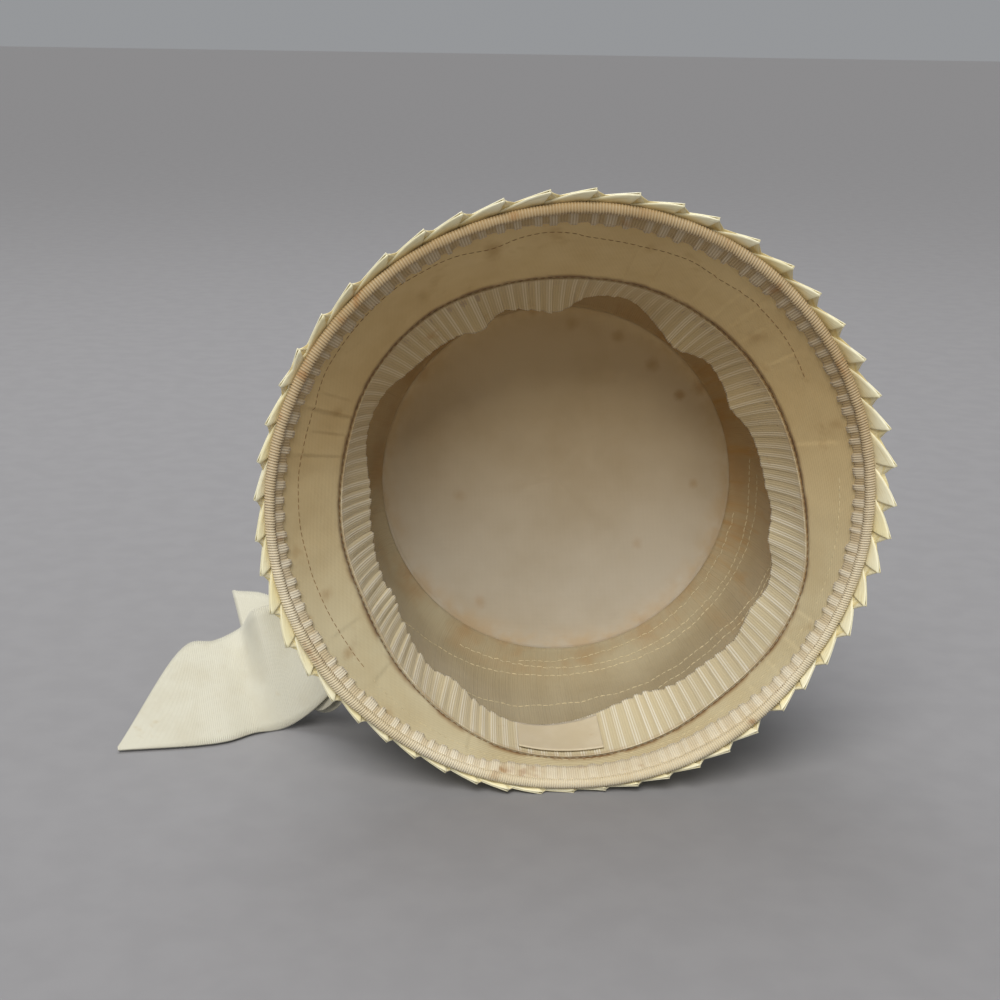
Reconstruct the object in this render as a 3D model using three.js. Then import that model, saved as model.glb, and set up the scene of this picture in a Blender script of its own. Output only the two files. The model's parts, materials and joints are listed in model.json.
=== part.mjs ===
// A straw hat with a short flared brim, lying on its back as it rests by itself.
// Sizes are in millimetres and angles in degrees. The hat is drawn about its own axis: x to the
// wearer's left, y from the opening to the tip, z to the front. The clock runs from the front over
// the wearer's left. The whole is then laid down on the plane z = 0, opening towards -Y.
import * as THREE from 'three';

// Crown. crownTaper is the even part of the way in from the head line to the tip's edge. The rest comes
// at the shoulder, the later the higher shoulderPower is
const headRadius = 90;
const crownDepth = 80;
const tipRadius = 74.6;
const tipRise = 5;
const crownTaper = 0.3;
const shoulderPower = 10;
const liningWall = 1.2;

// Brim: its edge is cut from a true circle, set forward of the head and leaning with the brim's depth,
// and trimmed back from it by up to brimTrim
const rimRadius = 108;
const rimForward = 9;
const rimSideways = -3.7;
const brimDepth = 28;
const rimLean = 5.7;
const brimTrim = 5;
const facingWall = 1;

// Edge binding: a ribbon folded over the brim's edge
const bindingLeg = 9.5;
const bindingWall = 1;
const bindingNose = 1.6;

// Sweatband, and the label on it
const sweatbandWidth = 25;
const sweatbandWall = 1;
const labelLength = 34;
const labelHeight = 20;
const labelWall = 0.5;
const labelClock = 182;

// Straw braid
const strawWall = 1.1;
const toothPitch = 12.3;
const toothReach = 3.2;
const brimRows = 5;
const tipRows = 3;
const rowOverlap = 0.3;
const rowSlack = 0.6;
const edgeReach = 10;
const buttonRadius = 11;
const buttonHeight = 4;

// Ribbon round the crown, its knot, loop and tail
const ribbonWidth = 50;
const ribbonWall = 1.2;
const bandSetback = 4;
const bandFlare = 1;
const knotClock = 225;
const knotDepth = 38;
const knotLength = 26;
const knotWidth = 30;
const knotHeight = 9;
const tailReach = 100;
const loopOpening = 3;

// Room left between pieces, and how finely round pieces are cut
const gap = 0.3;
const smoothColumns = 48;
const flutedColumns = 84;
const normalReach = 3;

// The head line's radius round the clock, as a share of headRadius
const headLine = [
  { clock: 0, share: 1.008 },
  { clock: 15, share: 1.004 },
  { clock: 40, share: 0.982 },
  { clock: 65, share: 0.957 },
  { clock: 85, share: 0.963 },
  { clock: 105, share: 1.01 },
  { clock: 120, share: 1.016 },
  { clock: 140, share: 1.002 },
  { clock: 158, share: 1.025 },
  { clock: 175, share: 1.038 },
  { clock: 195, share: 1.034 },
  { clock: 212, share: 1.0 },
  { clock: 228, share: 0.966 },
  { clock: 248, share: 0.942 },
  { clock: 268, share: 0.969 },
  { clock: 288, share: 0.994 },
  { clock: 305, share: 1.032 },
  { clock: 325, share: 1.049 },
  { clock: 342, share: 1.027 },
];

// How far the sweatband's free edge droops inward, as a share of its width
const sweatbandDroop = [
  { clock: 0, share: 0.46 },
  { clock: 11, share: 0.24 },
  { clock: 22, share: 0.34 },
  { clock: 32, share: 0.57 },
  { clock: 42, share: 0.4 },
  { clock: 57, share: 0.5 },
  { clock: 70, share: 0.34 },
  { clock: 90, share: 0.29 },
  { clock: 101, share: 0.36 },
  { clock: 112, share: 0.2 },
  { clock: 130, share: 0.17 },
  { clock: 146, share: 0.2 },
  { clock: 158, share: 0.39 },
  { clock: 168, share: 0.35 },
  { clock: 182, share: 0.14 },
  { clock: 203, share: 0.14 },
  { clock: 212, share: 0.26 },
  { clock: 222, share: 0.15 },
  { clock: 243, share: 0.29 },
  { clock: 262, share: 0.33 },
  { clock: 276, share: 0.38 },
  { clock: 292, share: 0.22 },
  { clock: 303, share: 0.3 },
  { clock: 312, share: 0.46 },
  { clock: 333, share: 0.62 },
  { clock: 344, share: 0.42 },
  { clock: 354, share: 0.54 },
];

// How far the straw's points stand out past the binding, as a share of edgeReach
const edgeOverhang = [
  { clock: 0, share: 0.71 },
  { clock: 30, share: 0.73 },
  { clock: 60, share: 0.9 },
  { clock: 80, share: 1.0 },
  { clock: 95, share: 0.85 },
  { clock: 110, share: 0.78 },
  { clock: 120, share: 0.58 },
  { clock: 132, share: 0.43 },
  { clock: 150, share: 0.32 },
  { clock: 165, share: 0.2 },
  { clock: 178, share: 0.12 },
  { clock: 192, share: 0.32 },
  { clock: 210, share: 0.3 },
  { clock: 225, share: 0.33 },
  { clock: 240, share: 0.47 },
  { clock: 252, share: 0.68 },
  { clock: 270, share: 0.5 },
  { clock: 290, share: 0.48 },
  { clock: 305, share: 0.57 },
  { clock: 320, share: 0.66 },
  { clock: 340, share: 0.77 },
];

// How far the brim's edge is trimmed back, as a share of brimTrim
const edgeTrim = [
  { clock: 0, share: 0.24 },
  { clock: 30, share: 0.2 },
  { clock: 45, share: 0.36 },
  { clock: 60, share: 0.44 },
  { clock: 90, share: 0.56 },
  { clock: 105, share: 0.8 },
  { clock: 120, share: 0.96 },
  { clock: 130, share: 0.8 },
  { clock: 140, share: 0.62 },
  { clock: 152, share: 0.5 },
  { clock: 165, share: 0.62 },
  { clock: 180, share: 0.82 },
  { clock: 200, share: 0.78 },
  { clock: 215, share: 0.72 },
  { clock: 226, share: 0.6 },
  { clock: 236, share: 0.4 },
  { clock: 250, share: 0.38 },
  { clock: 270, share: 0.4 },
  { clock: 290, share: 0.38 },
  { clock: 310, share: 0.5 },
  { clock: 330, share: 0.6 },
  { clock: 345, share: 0.58 },
];

// The tail from the knot to its cut end. along: share of tailReach. back: front edge behind the knot's
// middle, share of ribbonWidth. up: front edge's height, share of the knot's. turn and lean: degrees
// that the crosswise ribs turn to the left and rise. spread: width between the edges, share of ribbonWidth
const tailStations = [
  { along: 0.0, back: -0.25, up: 1.05, turn: 0, lean: -10, spread: 0.5 },
  { along: 0.06, back: -0.18, up: 1.0, turn: 4, lean: 2, spread: 0.62 },
  { along: 0.19, back: 0.02, up: 0.36, turn: 14, lean: 36, spread: 0.94 },
  { along: 0.36, back: 0.1, up: 0, turn: 32, lean: 61, spread: 1 },
  { along: 0.48, back: 0.0, up: 0, turn: 13, lean: 38, spread: 1 },
  { along: 0.58, back: -0.16, up: 0, turn: 13, lean: 33, spread: 1 },
  { along: 0.68, back: -0.23, up: 0, turn: 13, lean: 33, spread: 1 },
  { along: 1.0, back: -0.32, up: 0, turn: 13, lean: 33, spread: 0.03 },
];

// The loop from the knot to its fold, in the same measures
const loopStations = [
  { along: 0.0, back: -0.25, up: 1.05, turn: 0, lean: -10, spread: 0.5 },
  { along: 0.04, back: -0.15, up: 0.62, turn: 6, lean: 10, spread: 0.65 },
  { along: 0.16, back: 0.14, up: 0.17, turn: 14, lean: 36, spread: 0.85 },
  { along: 0.3, back: 0.37, up: 0.31, turn: 18, lean: 40, spread: 0.9 },
  { along: 0.42, back: 0.44, up: 0.33, turn: 20, lean: 40, spread: 0.9 },
];

const radians = THREE.MathUtils.degToRad;

// A smooth curve through a table's rows, closed round the clock
function roundTheClock(rows) {
  const turn = 360;
  const at = (i) => {
    const lap = Math.floor(i / rows.length);
    const row = rows[i - lap * rows.length];
    return { clock: row.clock + lap * turn, share: row.share };
  };
  return (clock) => {
    const angle = ((clock % turn) + turn) % turn;
    let i = rows.length - 1;
    while (i > 0 && rows[i].clock > angle) {
      i -= 1;
    }
    const [a, b, c, d] = [at(i - 1), at(i), at(i + 1), at(i + 2)];
    const span = c.clock - b.clock;
    const t = (angle - b.clock) / span;
    const slopeB = ((c.share - a.share) / (c.clock - a.clock)) * span;
    const slopeC = ((d.share - b.share) / (d.clock - b.clock)) * span;
    const rise = c.share - b.share;
    return b.share + t * (slopeB + t * (3 * rise - 2 * slopeB - slopeC + t * (slopeB + slopeC - 2 * rise)));
  };
}

const headShare = roundTheClock(headLine);
const droopShare = roundTheClock(sweatbandDroop);
const overhangShare = roundTheClock(edgeOverhang);
const trimShare = roundTheClock(edgeTrim);

const headAt = (clock) => headRadius * headShare(clock);

// The brim's edge: where a line from the hat's axis meets the rim's circle, and its depth there, both
// brought back towards the head line by the trim
function rimAt(clock) {
  const x = Math.sin(radians(clock));
  const z = Math.cos(radians(clock));
  const along = rimSideways * x + rimForward * z;
  const offset2 = rimSideways ** 2 + rimForward ** 2;
  const circle = along + Math.sqrt(rimRadius ** 2 - offset2 + along ** 2);
  const depth = brimDepth + Math.tan(radians(rimLean)) * circle * z;
  const head = headAt(clock);
  const kept = 1 - (brimTrim * trimShare(clock)) / Math.hypot(circle - head, depth);
  return { r: THREE.MathUtils.lerp(head, circle, kept), y: -depth * kept };
}

function brimWidth(clock) {
  const rim = rimAt(clock);
  return Math.hypot(rim.r - headAt(clock), rim.y);
}

const sideLength = Math.hypot(crownDepth, headRadius - tipRadius);

// The hat's wall in section. walk is the distance from the head line: below 0 it goes down the brim,
// up to sideLength it climbs the crown, and then it crosses the tip to its middle
function wall(clock, walk) {
  if (walk < 0) {
    const rim = rimAt(clock);
    const t = -walk / brimWidth(clock);
    return { r: THREE.MathUtils.lerp(headAt(clock), rim.r, t), y: rim.y * t };
  }
  if (walk < sideLength) {
    const t = walk / sideLength;
    const inward = crownTaper * t + (1 - crownTaper) * t ** shoulderPower;
    return { r: THREE.MathUtils.lerp(headAt(clock), tipRadius, inward), y: crownDepth * t };
  }
  const left = Math.max(0, 1 - (walk - sideLength) / tipRadius);
  return { r: tipRadius * left, y: crownDepth + tipRise * Math.sqrt(1 - left ** 2) };
}

// A point out from the wall's middle, along its outward normal
function offWall(clock, walk, out) {
  const here = wall(clock, walk);
  const below = wall(clock, walk - normalReach);
  const above = wall(clock, walk + normalReach);
  const length = Math.hypot(above.r - below.r, above.y - below.y);
  const r = here.r + (out * (above.y - below.y)) / length;
  const y = here.y - (out * (above.r - below.r)) / length;
  return new THREE.Vector3(r * Math.sin(radians(clock)), y, r * Math.cos(radians(clock)));
}

function meshOf(name, finish, points, faces) {
  const geometry = new THREE.BufferGeometry();
  geometry.setAttribute('position', new THREE.Float32BufferAttribute(points.flatMap((p) => p.toArray()), 3));
  geometry.setIndex(faces.flat());
  geometry.computeVertexNormals();
  const mesh = new THREE.Mesh(geometry, finish);
  mesh.name = name;
  return mesh;
}

// Faces between two neighbouring outlines of a loft, whose points start at from and to
function skin(from, to, count) {
  const faces = [];
  for (let i = 0; i < count; i += 1) {
    const j = (i + 1) % count;
    faces.push([from + i, from + j, to + j], [from + i, to + j, to + i]);
  }
  return faces;
}

// A hoop: the same outline of points at each clock angle, joined all round
function hoop(name, finish, clocks, outlineAt) {
  const outlines = clocks.map(outlineAt);
  const count = outlines[0].length;
  const faces = outlines.flatMap((_, i) => skin(i * count, ((i + 1) % outlines.length) * count, count));
  return meshOf(name, finish, outlines.flat(), faces);
}

// A strip: outlines joined one after another, with flat ends
function strip(name, finish, outlines) {
  const count = outlines[0].length;
  const faces = outlines.slice(1).flatMap((_, i) => skin(i * count, (i + 1) * count, count));
  const last = (outlines.length - 1) * count;
  for (let i = 1; i < count - 1; i += 1) {
    faces.push([0, i + 1, i], [last, last + i, last + i + 1]);
  }
  return meshOf(name, finish, outlines.flat(), faces);
}

const evenClocks = (count) => Array.from({ length: count }, (_, i) => (i * 360) / count);

// The outline of a layer between two walks, from one height off the wall to another
function layer(clock, walks, under, over) {
  const low = walks.map((walk, i) => offWall(clock, walk, under[i] ?? under[0]));
  const high = walks.map((walk, i) => offWall(clock, walk, over[i] ?? over[0]));
  return [...low, ...high.reverse()];
}

const evenSteps = (from, to, steps) =>
  Array.from({ length: steps + 1 }, (_, i) => THREE.MathUtils.lerp(from, to, i / steps));

// Finishes
const finishOf = (color, roughness) => new THREE.MeshStandardMaterial({ color, roughness, metalness: 0 });
const strawFinish = finishOf(0xe6e0bd, 0.35);
const ribbonFinish = finishOf(0xe8e4d2, 0.6);
const clothFinish = finishOf(0xcbbd9a, 0.85);
const facingFinish = finishOf(0xc9b88e, 0.85);
const labelFinish = finishOf(0xdcd3ba, 0.8);

// Lining: the crown's side, closely cut where it turns in at the shoulder, and the domed disc of its tip
function crownLining() {
  const half = liningWall / 2;
  const shoulder = [0.5, 0.75, 0.9].map((share) => share * sideLength);
  const outlineAt = (clock) => layer(clock, [gap, ...shoulder, sideLength - gap / 2], [-half], [half]);
  return hoop('crown_lining', clothFinish, evenClocks(smoothColumns), outlineAt);
}

function tipLining() {
  const half = liningWall / 2;
  const clocks = evenClocks(smoothColumns);
  const count = clocks.length;
  const walks = evenSteps(sideLength + gap, sideLength + tipRadius, 4).slice(0, -1);
  const rings = [...walks.map((walk) => [walk, half]).reverse(), ...walks.map((walk) => [walk, -half])];
  const points = rings.flatMap(([walk, out]) => clocks.map((clock) => offWall(clock, walk, out)));
  const faces = rings.slice(1).flatMap((_, i) => skin((i + 1) * count, i * count, count));
  const middle = crownDepth + tipRise;
  const [outside, inside] = [points.length, points.length + 1];
  points.push(new THREE.Vector3(0, middle + half, 0), new THREE.Vector3(0, middle - half, 0));
  const lastRing = (rings.length - 1) * count;
  for (let i = 0; i < count; i += 1) {
    const j = (i + 1) % count;
    faces.push([outside, i, j], [inside, lastRing + j, lastRing + i]);
  }
  return meshOf('tip_lining', clothFinish, points, faces);
}

function brimFacing() {
  const half = facingWall / 2;
  const outlineAt = (clock) => {
    const edge = -brimWidth(clock);
    return layer(clock, [edge, edge + bindingLeg / 2, edge + bindingLeg, -gap], [-half], [half]);
  };
  return hoop('brim_facing', facingFinish, evenClocks(smoothColumns), outlineAt);
}

// Binding: a U in section, its two legs clear of the facing between them
const bindingOut = facingWall / 2 + gap + bindingWall;

function edgeBinding() {
  const under = facingWall / 2 + gap;
  const outlineAt = (clock) => {
    const edge = -brimWidth(clock);
    const legEnd = edge + bindingLeg;
    const section = [
      [legEnd, -bindingOut],
      [edge - bindingNose / 2, -bindingOut],
      [edge - gap - bindingNose, 0],
      [edge - bindingNose / 2, bindingOut],
      [legEnd, bindingOut],
      [legEnd, under],
      [edge - gap, under],
      [edge - gap, -under],
      [legEnd, -under],
    ];
    return section.map(([walk, out]) => offWall(clock, walk, out)).reverse();
  };
  return hoop('edge_binding', ribbonFinish, evenClocks(smoothColumns), outlineAt);
}

// Sweatband: sewn in at the head line and free at its inner edge, which droops inward in waves.
// down is the share of its width from the seam
function sweatbandPoint(clock, down, lift) {
  const droop = sweatbandWidth * droopShare(clock);
  const depth = Math.sqrt(sweatbandWidth ** 2 - droop ** 2);
  const start = headAt(clock) - liningWall / 2 - gap;
  const r = start - droop * down ** 1.3 - lift;
  return new THREE.Vector3(r * Math.sin(radians(clock)), depth * down, r * Math.cos(radians(clock)));
}

function sweatband() {
  const downs = [0, 0.5, 1];
  const outlineAt = (clock) => [
    ...downs.map((down) => sweatbandPoint(clock, down, sweatbandWall)),
    ...downs.map((down) => sweatbandPoint(clock, down, 0)).reverse(),
  ];
  return hoop('sweatband', ribbonFinish, evenClocks(flutedColumns), outlineAt);
}

function label() {
  const halfTurn = THREE.MathUtils.radToDeg(labelLength / 2 / headAt(labelClock));
  const margin = (1 - labelHeight / sweatbandWidth) / 2;
  const low = sweatbandWall + gap;
  const outlines = evenSteps(labelClock - halfTurn, labelClock + halfTurn, 8).map((clock) => [
    sweatbandPoint(clock, margin, low + labelWall),
    sweatbandPoint(clock, 1 - margin, low + labelWall),
    sweatbandPoint(clock, 1 - margin, low),
    sweatbandPoint(clock, margin, low),
  ]);
  return strip('label', labelFinish, outlines);
}

// Straw braid: a hoop with a saw-toothed lower edge, lapped over the row below it. The points lean
// away from the brim's front left, down both sides, and meet at its back right
const strawBase = liningWall / 2 + gap;
const leansOn = (clock) => clock > 320 || clock < 135;

function strawRow(name, rowRadius, reach, lowAt, highAt, underAt, bendsAt) {
  const teeth = Math.round((2 * Math.PI * rowRadius) / toothPitch);
  const clocks = evenClocks(teeth).flatMap((clock) => {
    const point = clock + (360 / teeth) * (leansOn(clock) ? 0.7 : 0.3);
    return [{ clock, tooth: 0 }, { clock: point, tooth: reach }];
  });
  const outlineAt = ({ clock, tooth }) => {
    const low = lowAt(clock) - tooth;
    const high = highAt(clock);
    const walks = [low, ...bendsAt(low, high, clock), high];
    const under = walks.map((walk) => underAt(walk, low, high, clock));
    return layer(clock, walks, under, under.map((out) => out + strawWall));
  };
  return hoop(name, strawFinish, clocks, outlineAt);
}

const rowStep = (clock) => (brimWidth(clock) + sideLength) / brimRows;
const rowLow = (clock, row) => -brimWidth(clock) + row * rowStep(clock);
const lapRise = (step) => ((strawWall + rowSlack) * ((1 + rowOverlap) * step + toothReach)) / step;

const settling = (rise) => (walk, low, high) =>
  THREE.MathUtils.mapLinear(walk, low, high, strawBase + rise, strawBase);

// The first row stays clear of the binding's outer leg, and settles from its end to the head line
const bindingEnd = (clock) => rowLow(clock, 0) + bindingLeg;
const clearOfBinding = (walk, low, high, clock) =>
  THREE.MathUtils.mapLinear(Math.max(walk, bindingEnd(clock)), bindingEnd(clock), high, bindingOut + gap, strawBase);

const noBends = () => [];
const overBindingEnd = (low, high, clock) => [bindingEnd(clock)];
const overHeadLine = (low, high) => [THREE.MathUtils.clamp(0, low + toothReach, high - toothReach)];
const onceBent = (low, high) => [(low + high) / 2];
const roundShoulder = (low, high) => [0.45, 0.8].map((share) => THREE.MathUtils.lerp(low, high, share));
const overShoulder = () => [sideLength + strawWall];
const brimBends = [overBindingEnd, overHeadLine, noBends, onceBent, roundShoulder];

// The first row's points stand out past the binding, and the others lap over the row before
function brimRow(row) {
  const name = `straw_row_${row + 1}`;
  const meanRadius = wall(90, rowLow(90, row)).r;
  const bends = brimBends[row] ?? noBends;
  const stop = row > 0 ? sideLength : -gap;
  const highAt = (clock) => Math.min(rowLow(clock, row) + (1 + rowOverlap) * rowStep(clock), stop);
  if (row > 0) {
    const lowAt = (clock) => rowLow(clock, row);
    const underAt = (walk, low, high, clock) => settling(lapRise(rowStep(clock)))(walk, low, high);
    return strawRow(name, meanRadius, toothReach, lowAt, highAt, underAt, bends);
  }
  const lowAt = (clock) => rowLow(clock, 0) - edgeReach * overhangShare(clock) + toothReach;
  return strawRow(name, meanRadius, toothReach, lowAt, highAt, clearOfBinding, bends);
}

const tipStep = (tipRadius - buttonRadius) / tipRows;

function tipRow(row) {
  const name = `straw_row_${brimRows + row + 1}`;
  const low = sideLength + row * tipStep;
  const high = low + (row < tipRows - 1 ? 1 + rowOverlap : 1) * tipStep;
  const underAt = settling(lapRise(tipStep));
  const bends = row === 0 ? overShoulder : noBends;
  return strawRow(name, tipRadius - row * tipStep, toothReach, () => low, () => high, underAt, bends);
}

// The braid's coiled end: a low flat-topped button at the middle of the tip
function tipButton() {
  const base = crownDepth + tipRise + strawBase;
  const profile = [
    new THREE.Vector2(0, base),
    new THREE.Vector2(buttonRadius - gap, base),
    new THREE.Vector2(buttonRadius - gap, base + buttonHeight * 0.6),
    new THREE.Vector2(buttonRadius * 0.75, base + buttonHeight),
    new THREE.Vector2(0, base + buttonHeight),
  ];
  const mesh = new THREE.Mesh(new THREE.LatheGeometry(profile, 24), strawFinish);
  mesh.name = 'tip_button';
  return mesh;
}

// Ribbon band: outside the lapped straw, all round the crown, and a little slack at its far edge, where
// the crown grows narrower
const bandUnder = (walk) =>
  strawBase + lapRise(rowStep(180)) + strawWall + rowSlack + bandFlare * ((walk - bandSetback) / ribbonWidth) ** 2;

function ribbonBand() {
  const walks = evenSteps(bandSetback, bandSetback + ribbonWidth, 3);
  const under = walks.map(bandUnder);
  const outlineAt = (clock) => layer(clock, walks, under, under.map((out) => out + ribbonWall));
  return hoop('ribbon_band', ribbonFinish, evenClocks(smoothColumns), outlineAt);
}

// The hat itself
const hat = new THREE.Group();
hat.add(crownLining(), tipLining(), brimFacing(), edgeBinding(), sweatband(), label());
for (let row = 0; row < brimRows; row += 1) {
  hat.add(brimRow(row));
}
for (let row = 0; row < tipRows; row += 1) {
  hat.add(tipRow(row));
}
hat.add(tipButton(), ribbonBand());

// Laying the hat down: it tips about its opening until its brim and its band both touch the table
function lowestAt(tilt, name) {
  const turn = new THREE.Matrix4().makeRotationX(-radians(tilt));
  const shape = hat.getObjectByName(name).geometry.attributes.position;
  let low = Infinity;
  for (let i = 0; i < shape.count; i += 1) {
    low = Math.min(low, new THREE.Vector3().fromBufferAttribute(shape, i).applyMatrix4(turn).z);
  }
  return low;
}

let flat = 0;
let steep = 45;
for (let i = 0; i < 40; i += 1) {
  const tilt = (flat + steep) / 2;
  if (lowestAt(tilt, 'ribbon_band') > lowestAt(tilt, 'straw_row_1')) {
    flat = tilt;
  } else {
    steep = tilt;
  }
}
const restTilt = (flat + steep) / 2;
hat.rotation.x = -radians(restTilt);
hat.position.z = -Math.min(lowestAt(restTilt, 'straw_row_1'), lowestAt(restTilt, 'ribbon_band'));
hat.updateMatrixWorld(true);

// The knot: a flat pad on the band, its long side along the ribbon, its sides level with the band's face
const bandFace = (clock, walk) => offWall(clock, walk, bandUnder(walk) + ribbonWall);
const knotSpread = THREE.MathUtils.radToDeg(knotLength / 2 / headRadius);
const knotSeat = bandFace(knotClock, knotDepth);
const knotAlong = bandFace(knotClock + knotSpread, knotDepth)
  .sub(bandFace(knotClock - knotSpread, knotDepth))
  .normalize();
const knotSlope = bandFace(knotClock, knotDepth + knotWidth / 2)
  .sub(bandFace(knotClock, knotDepth - knotWidth / 2));
const knotOutward = new THREE.Vector3().crossVectors(knotAlong, knotSlope).normalize();
const knotAcross = new THREE.Vector3().crossVectors(knotOutward, knotAlong);

function ribbonKnot() {
  const sections = [
    [0.5, 0.55],
    [0.3, 1],
    [-0.3, 1],
    [-0.5, 0.55],
  ];
  const outlines = sections.map(([along, size]) =>
    [
      [-0.5, 0],
      [-0.5, 0.6],
      [-0.36, 1],
      [0.36, 1],
      [0.5, 0.6],
      [0.5, 0],
    ].map(([across, up]) =>
      knotSeat
        .clone()
        .addScaledVector(knotAlong, along * knotLength)
        .addScaledVector(knotAcross, across * knotWidth * size)
        .addScaledVector(knotOutward, gap + up * knotHeight * (up > 0.9 ? size : 1)),
    ),
  );
  return strip('ribbon_knot', ribbonFinish, outlines);
}
hat.add(ribbonKnot());

// Ribbon ends: they leave the knot's left end, the tail next to the band and the loop outside it, and
// settle towards the table
const rootAt = (out) =>
  knotSeat
    .clone()
    .addScaledVector(knotAlong, knotLength / 2 + ribbonWall + gap)
    .addScaledVector(knotOutward, out)
    .applyMatrix4(hat.matrixWorld);

function stationFrame(station, root, onTable) {
  const turn = radians(station.turn);
  const lean = radians(station.lean);
  const across = new THREE.Vector3(-Math.sin(turn), Math.cos(turn), Math.tan(lean)).normalize();
  const front = new THREE.Vector3(
    root.x - station.along * tailReach,
    root.y + station.back * ribbonWidth,
    onTable + station.up * (root.z - onTable),
  );
  return { front, rear: front.clone().addScaledVector(across, station.spread * ribbonWidth) };
}

function smoothRun(stations, root, steps) {
  const frames = stations.map((station) => stationFrame(station, root, ribbonWall));
  const front = new THREE.CatmullRomCurve3(frames.map((frame) => frame.front));
  const rear = new THREE.CatmullRomCurve3(frames.map((frame) => frame.rear));
  return Array.from({ length: steps + 1 }, (_, i) => ({
    front: front.getPoint(i / steps),
    rear: rear.getPoint(i / steps),
  }));
}

// A ribbon's outline at one place along its run: across one face and back across the other, which lie
// at the given heights off the run's middle surface
function ribbonOutline(run, i, under, over) {
  const along = run[Math.min(i + 1, run.length - 1)].front.clone().sub(run[Math.max(i - 1, 0)].front);
  const across = run[i].rear.clone().sub(run[i].front);
  const up = new THREE.Vector3().crossVectors(across, along).normalize();
  const edges = [run[i].front, run[i].rear];
  const first = edges.map((edge) => edge.clone().addScaledVector(up, over));
  const second = edges.map((edge) => edge.clone().addScaledVector(up, under));
  return [...first, ...second.reverse()];
}

function ribbonTail() {
  const half = ribbonWall / 2;
  const run = smoothRun(tailStations, rootAt(2.5 * half), 4 * (tailStations.length - 1));
  return strip('ribbon_tail', ribbonFinish, run.map((_, i) => ribbonOutline(run, i, -half, half)));
}

// The loop: one layer out to the fold, round it, and one layer back
function ribbonLoop() {
  const steps = 4 * (loopStations.length - 1);
  const run = smoothRun(loopStations, rootAt(knotHeight), steps);
  const inner = (i) => (loopOpening / 2) * Math.min(1, 0.2 + (2 * i) / steps);
  const there = run.map((_, i) => ribbonOutline(run, i, -inner(i) - ribbonWall, -inner(i)));
  const back = run.map((_, i) => ribbonOutline(run, i, inner(i) + ribbonWall, inner(i))).reverse();
  const end = run[steps].front.clone().sub(run[steps - 1].front).normalize();
  const fold = ribbonOutline(run, steps, 0, 0);
  const inside = fold.slice(0, 2).map((p) => p.clone().addScaledVector(end, inner(steps) * 0.7));
  const outside = fold.slice(2).map((p) => p.clone().addScaledVector(end, inner(steps) + ribbonWall));
  return strip('ribbon_loop', ribbonFinish, [...there, [...inside, ...outside], ...back]);
}

const whole = new THREE.Group();
whole.add(hat, ribbonTail(), ribbonLoop());

// The origin: under the middle of the whole, on the table
const box = new THREE.Box3().setFromObject(whole, true);
whole.position.set(-(box.min.x + box.max.x) / 2, -(box.min.y + box.max.y) / 2, -box.min.z);

export default whole;
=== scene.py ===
# Looks for a straw hat that lies on its back, its opening towards the camera.
# Shapes are drawn in millimetres on the hat's own axes: x to the wearer's left, y from the opening
# to the tip, z to the front. The clock runs in degrees from the front over the wearer's left.
import json
import math

import bmesh
import bpy
import numpy as np
from mathutils import Matrix, Vector


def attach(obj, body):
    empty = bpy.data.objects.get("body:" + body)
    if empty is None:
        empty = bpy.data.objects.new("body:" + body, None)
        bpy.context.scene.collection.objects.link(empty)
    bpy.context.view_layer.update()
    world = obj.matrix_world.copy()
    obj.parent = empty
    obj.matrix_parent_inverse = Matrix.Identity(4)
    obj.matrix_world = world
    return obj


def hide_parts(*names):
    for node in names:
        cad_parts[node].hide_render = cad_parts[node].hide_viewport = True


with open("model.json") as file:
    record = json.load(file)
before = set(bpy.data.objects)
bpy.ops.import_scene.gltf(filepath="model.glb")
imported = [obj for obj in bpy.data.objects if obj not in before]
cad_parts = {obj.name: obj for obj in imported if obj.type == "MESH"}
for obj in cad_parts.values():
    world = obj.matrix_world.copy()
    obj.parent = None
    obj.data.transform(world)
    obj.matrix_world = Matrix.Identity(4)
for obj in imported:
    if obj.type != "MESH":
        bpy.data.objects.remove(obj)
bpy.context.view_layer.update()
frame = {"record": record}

MM = 0.001

# Crown
HEAD_RADIUS = 90.0
CROWN_DEPTH = 80.0
TIP_RADIUS = 74.6
TIP_RISE = 5.0
CROWN_TAPER = 0.3
SHOULDER_POWER = 10
LINING_WALL = 1.2

# Brim
RIM_RADIUS = 108.0
RIM_FORWARD = 9.0
RIM_SIDEWAYS = -3.7
BRIM_DEPTH = 28.0
RIM_LEAN = math.radians(5.7)
BRIM_TRIM = 5.0

# Edge binding and sweatband
BINDING_LEG = 9.5
BINDING_WALL = 1.0
FACING_WALL = 1.0
SWEATBAND_WIDTH = 25.0
LABEL_CLOCK = 182.0
LABEL_LENGTH = 34.0
LABEL_HEIGHT = 20.0

# Straw
STRAW_WALL = 1.1
TOOTH_PITCH = 12.3
TOOTH_REACH = 3.2
SIDE_ROWS = 5
TIP_ROWS = 3
ROW_OVERLAP = 0.3
ROW_SLACK = 0.6
EDGE_REACH = 10.0
BUTTON_RADIUS = 11.0
BUTTON_HEIGHT = 4.0

# Ribbon
RIBBON_WIDTH = 50.0
RIBBON_WALL = 1.2
BAND_SETBACK = 4.0
BAND_FLARE = 1.0
RIB_PITCH = 0.86

GAP = 0.3
STRAW_BASE = LINING_WALL / 2 + GAP

# The head line's radius, as a share of HEAD_RADIUS: clock, share
HEAD_LINE = [
    (0, 1.008), (15, 1.004), (40, 0.982), (65, 0.957), (85, 0.963), (105, 1.01), (120, 1.016),
    (140, 1.002), (158, 1.025), (175, 1.038), (195, 1.034), (212, 1.0), (228, 0.966), (248, 0.942),
    (268, 0.969), (288, 0.994), (305, 1.032), (325, 1.049), (342, 1.027),
]

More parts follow.
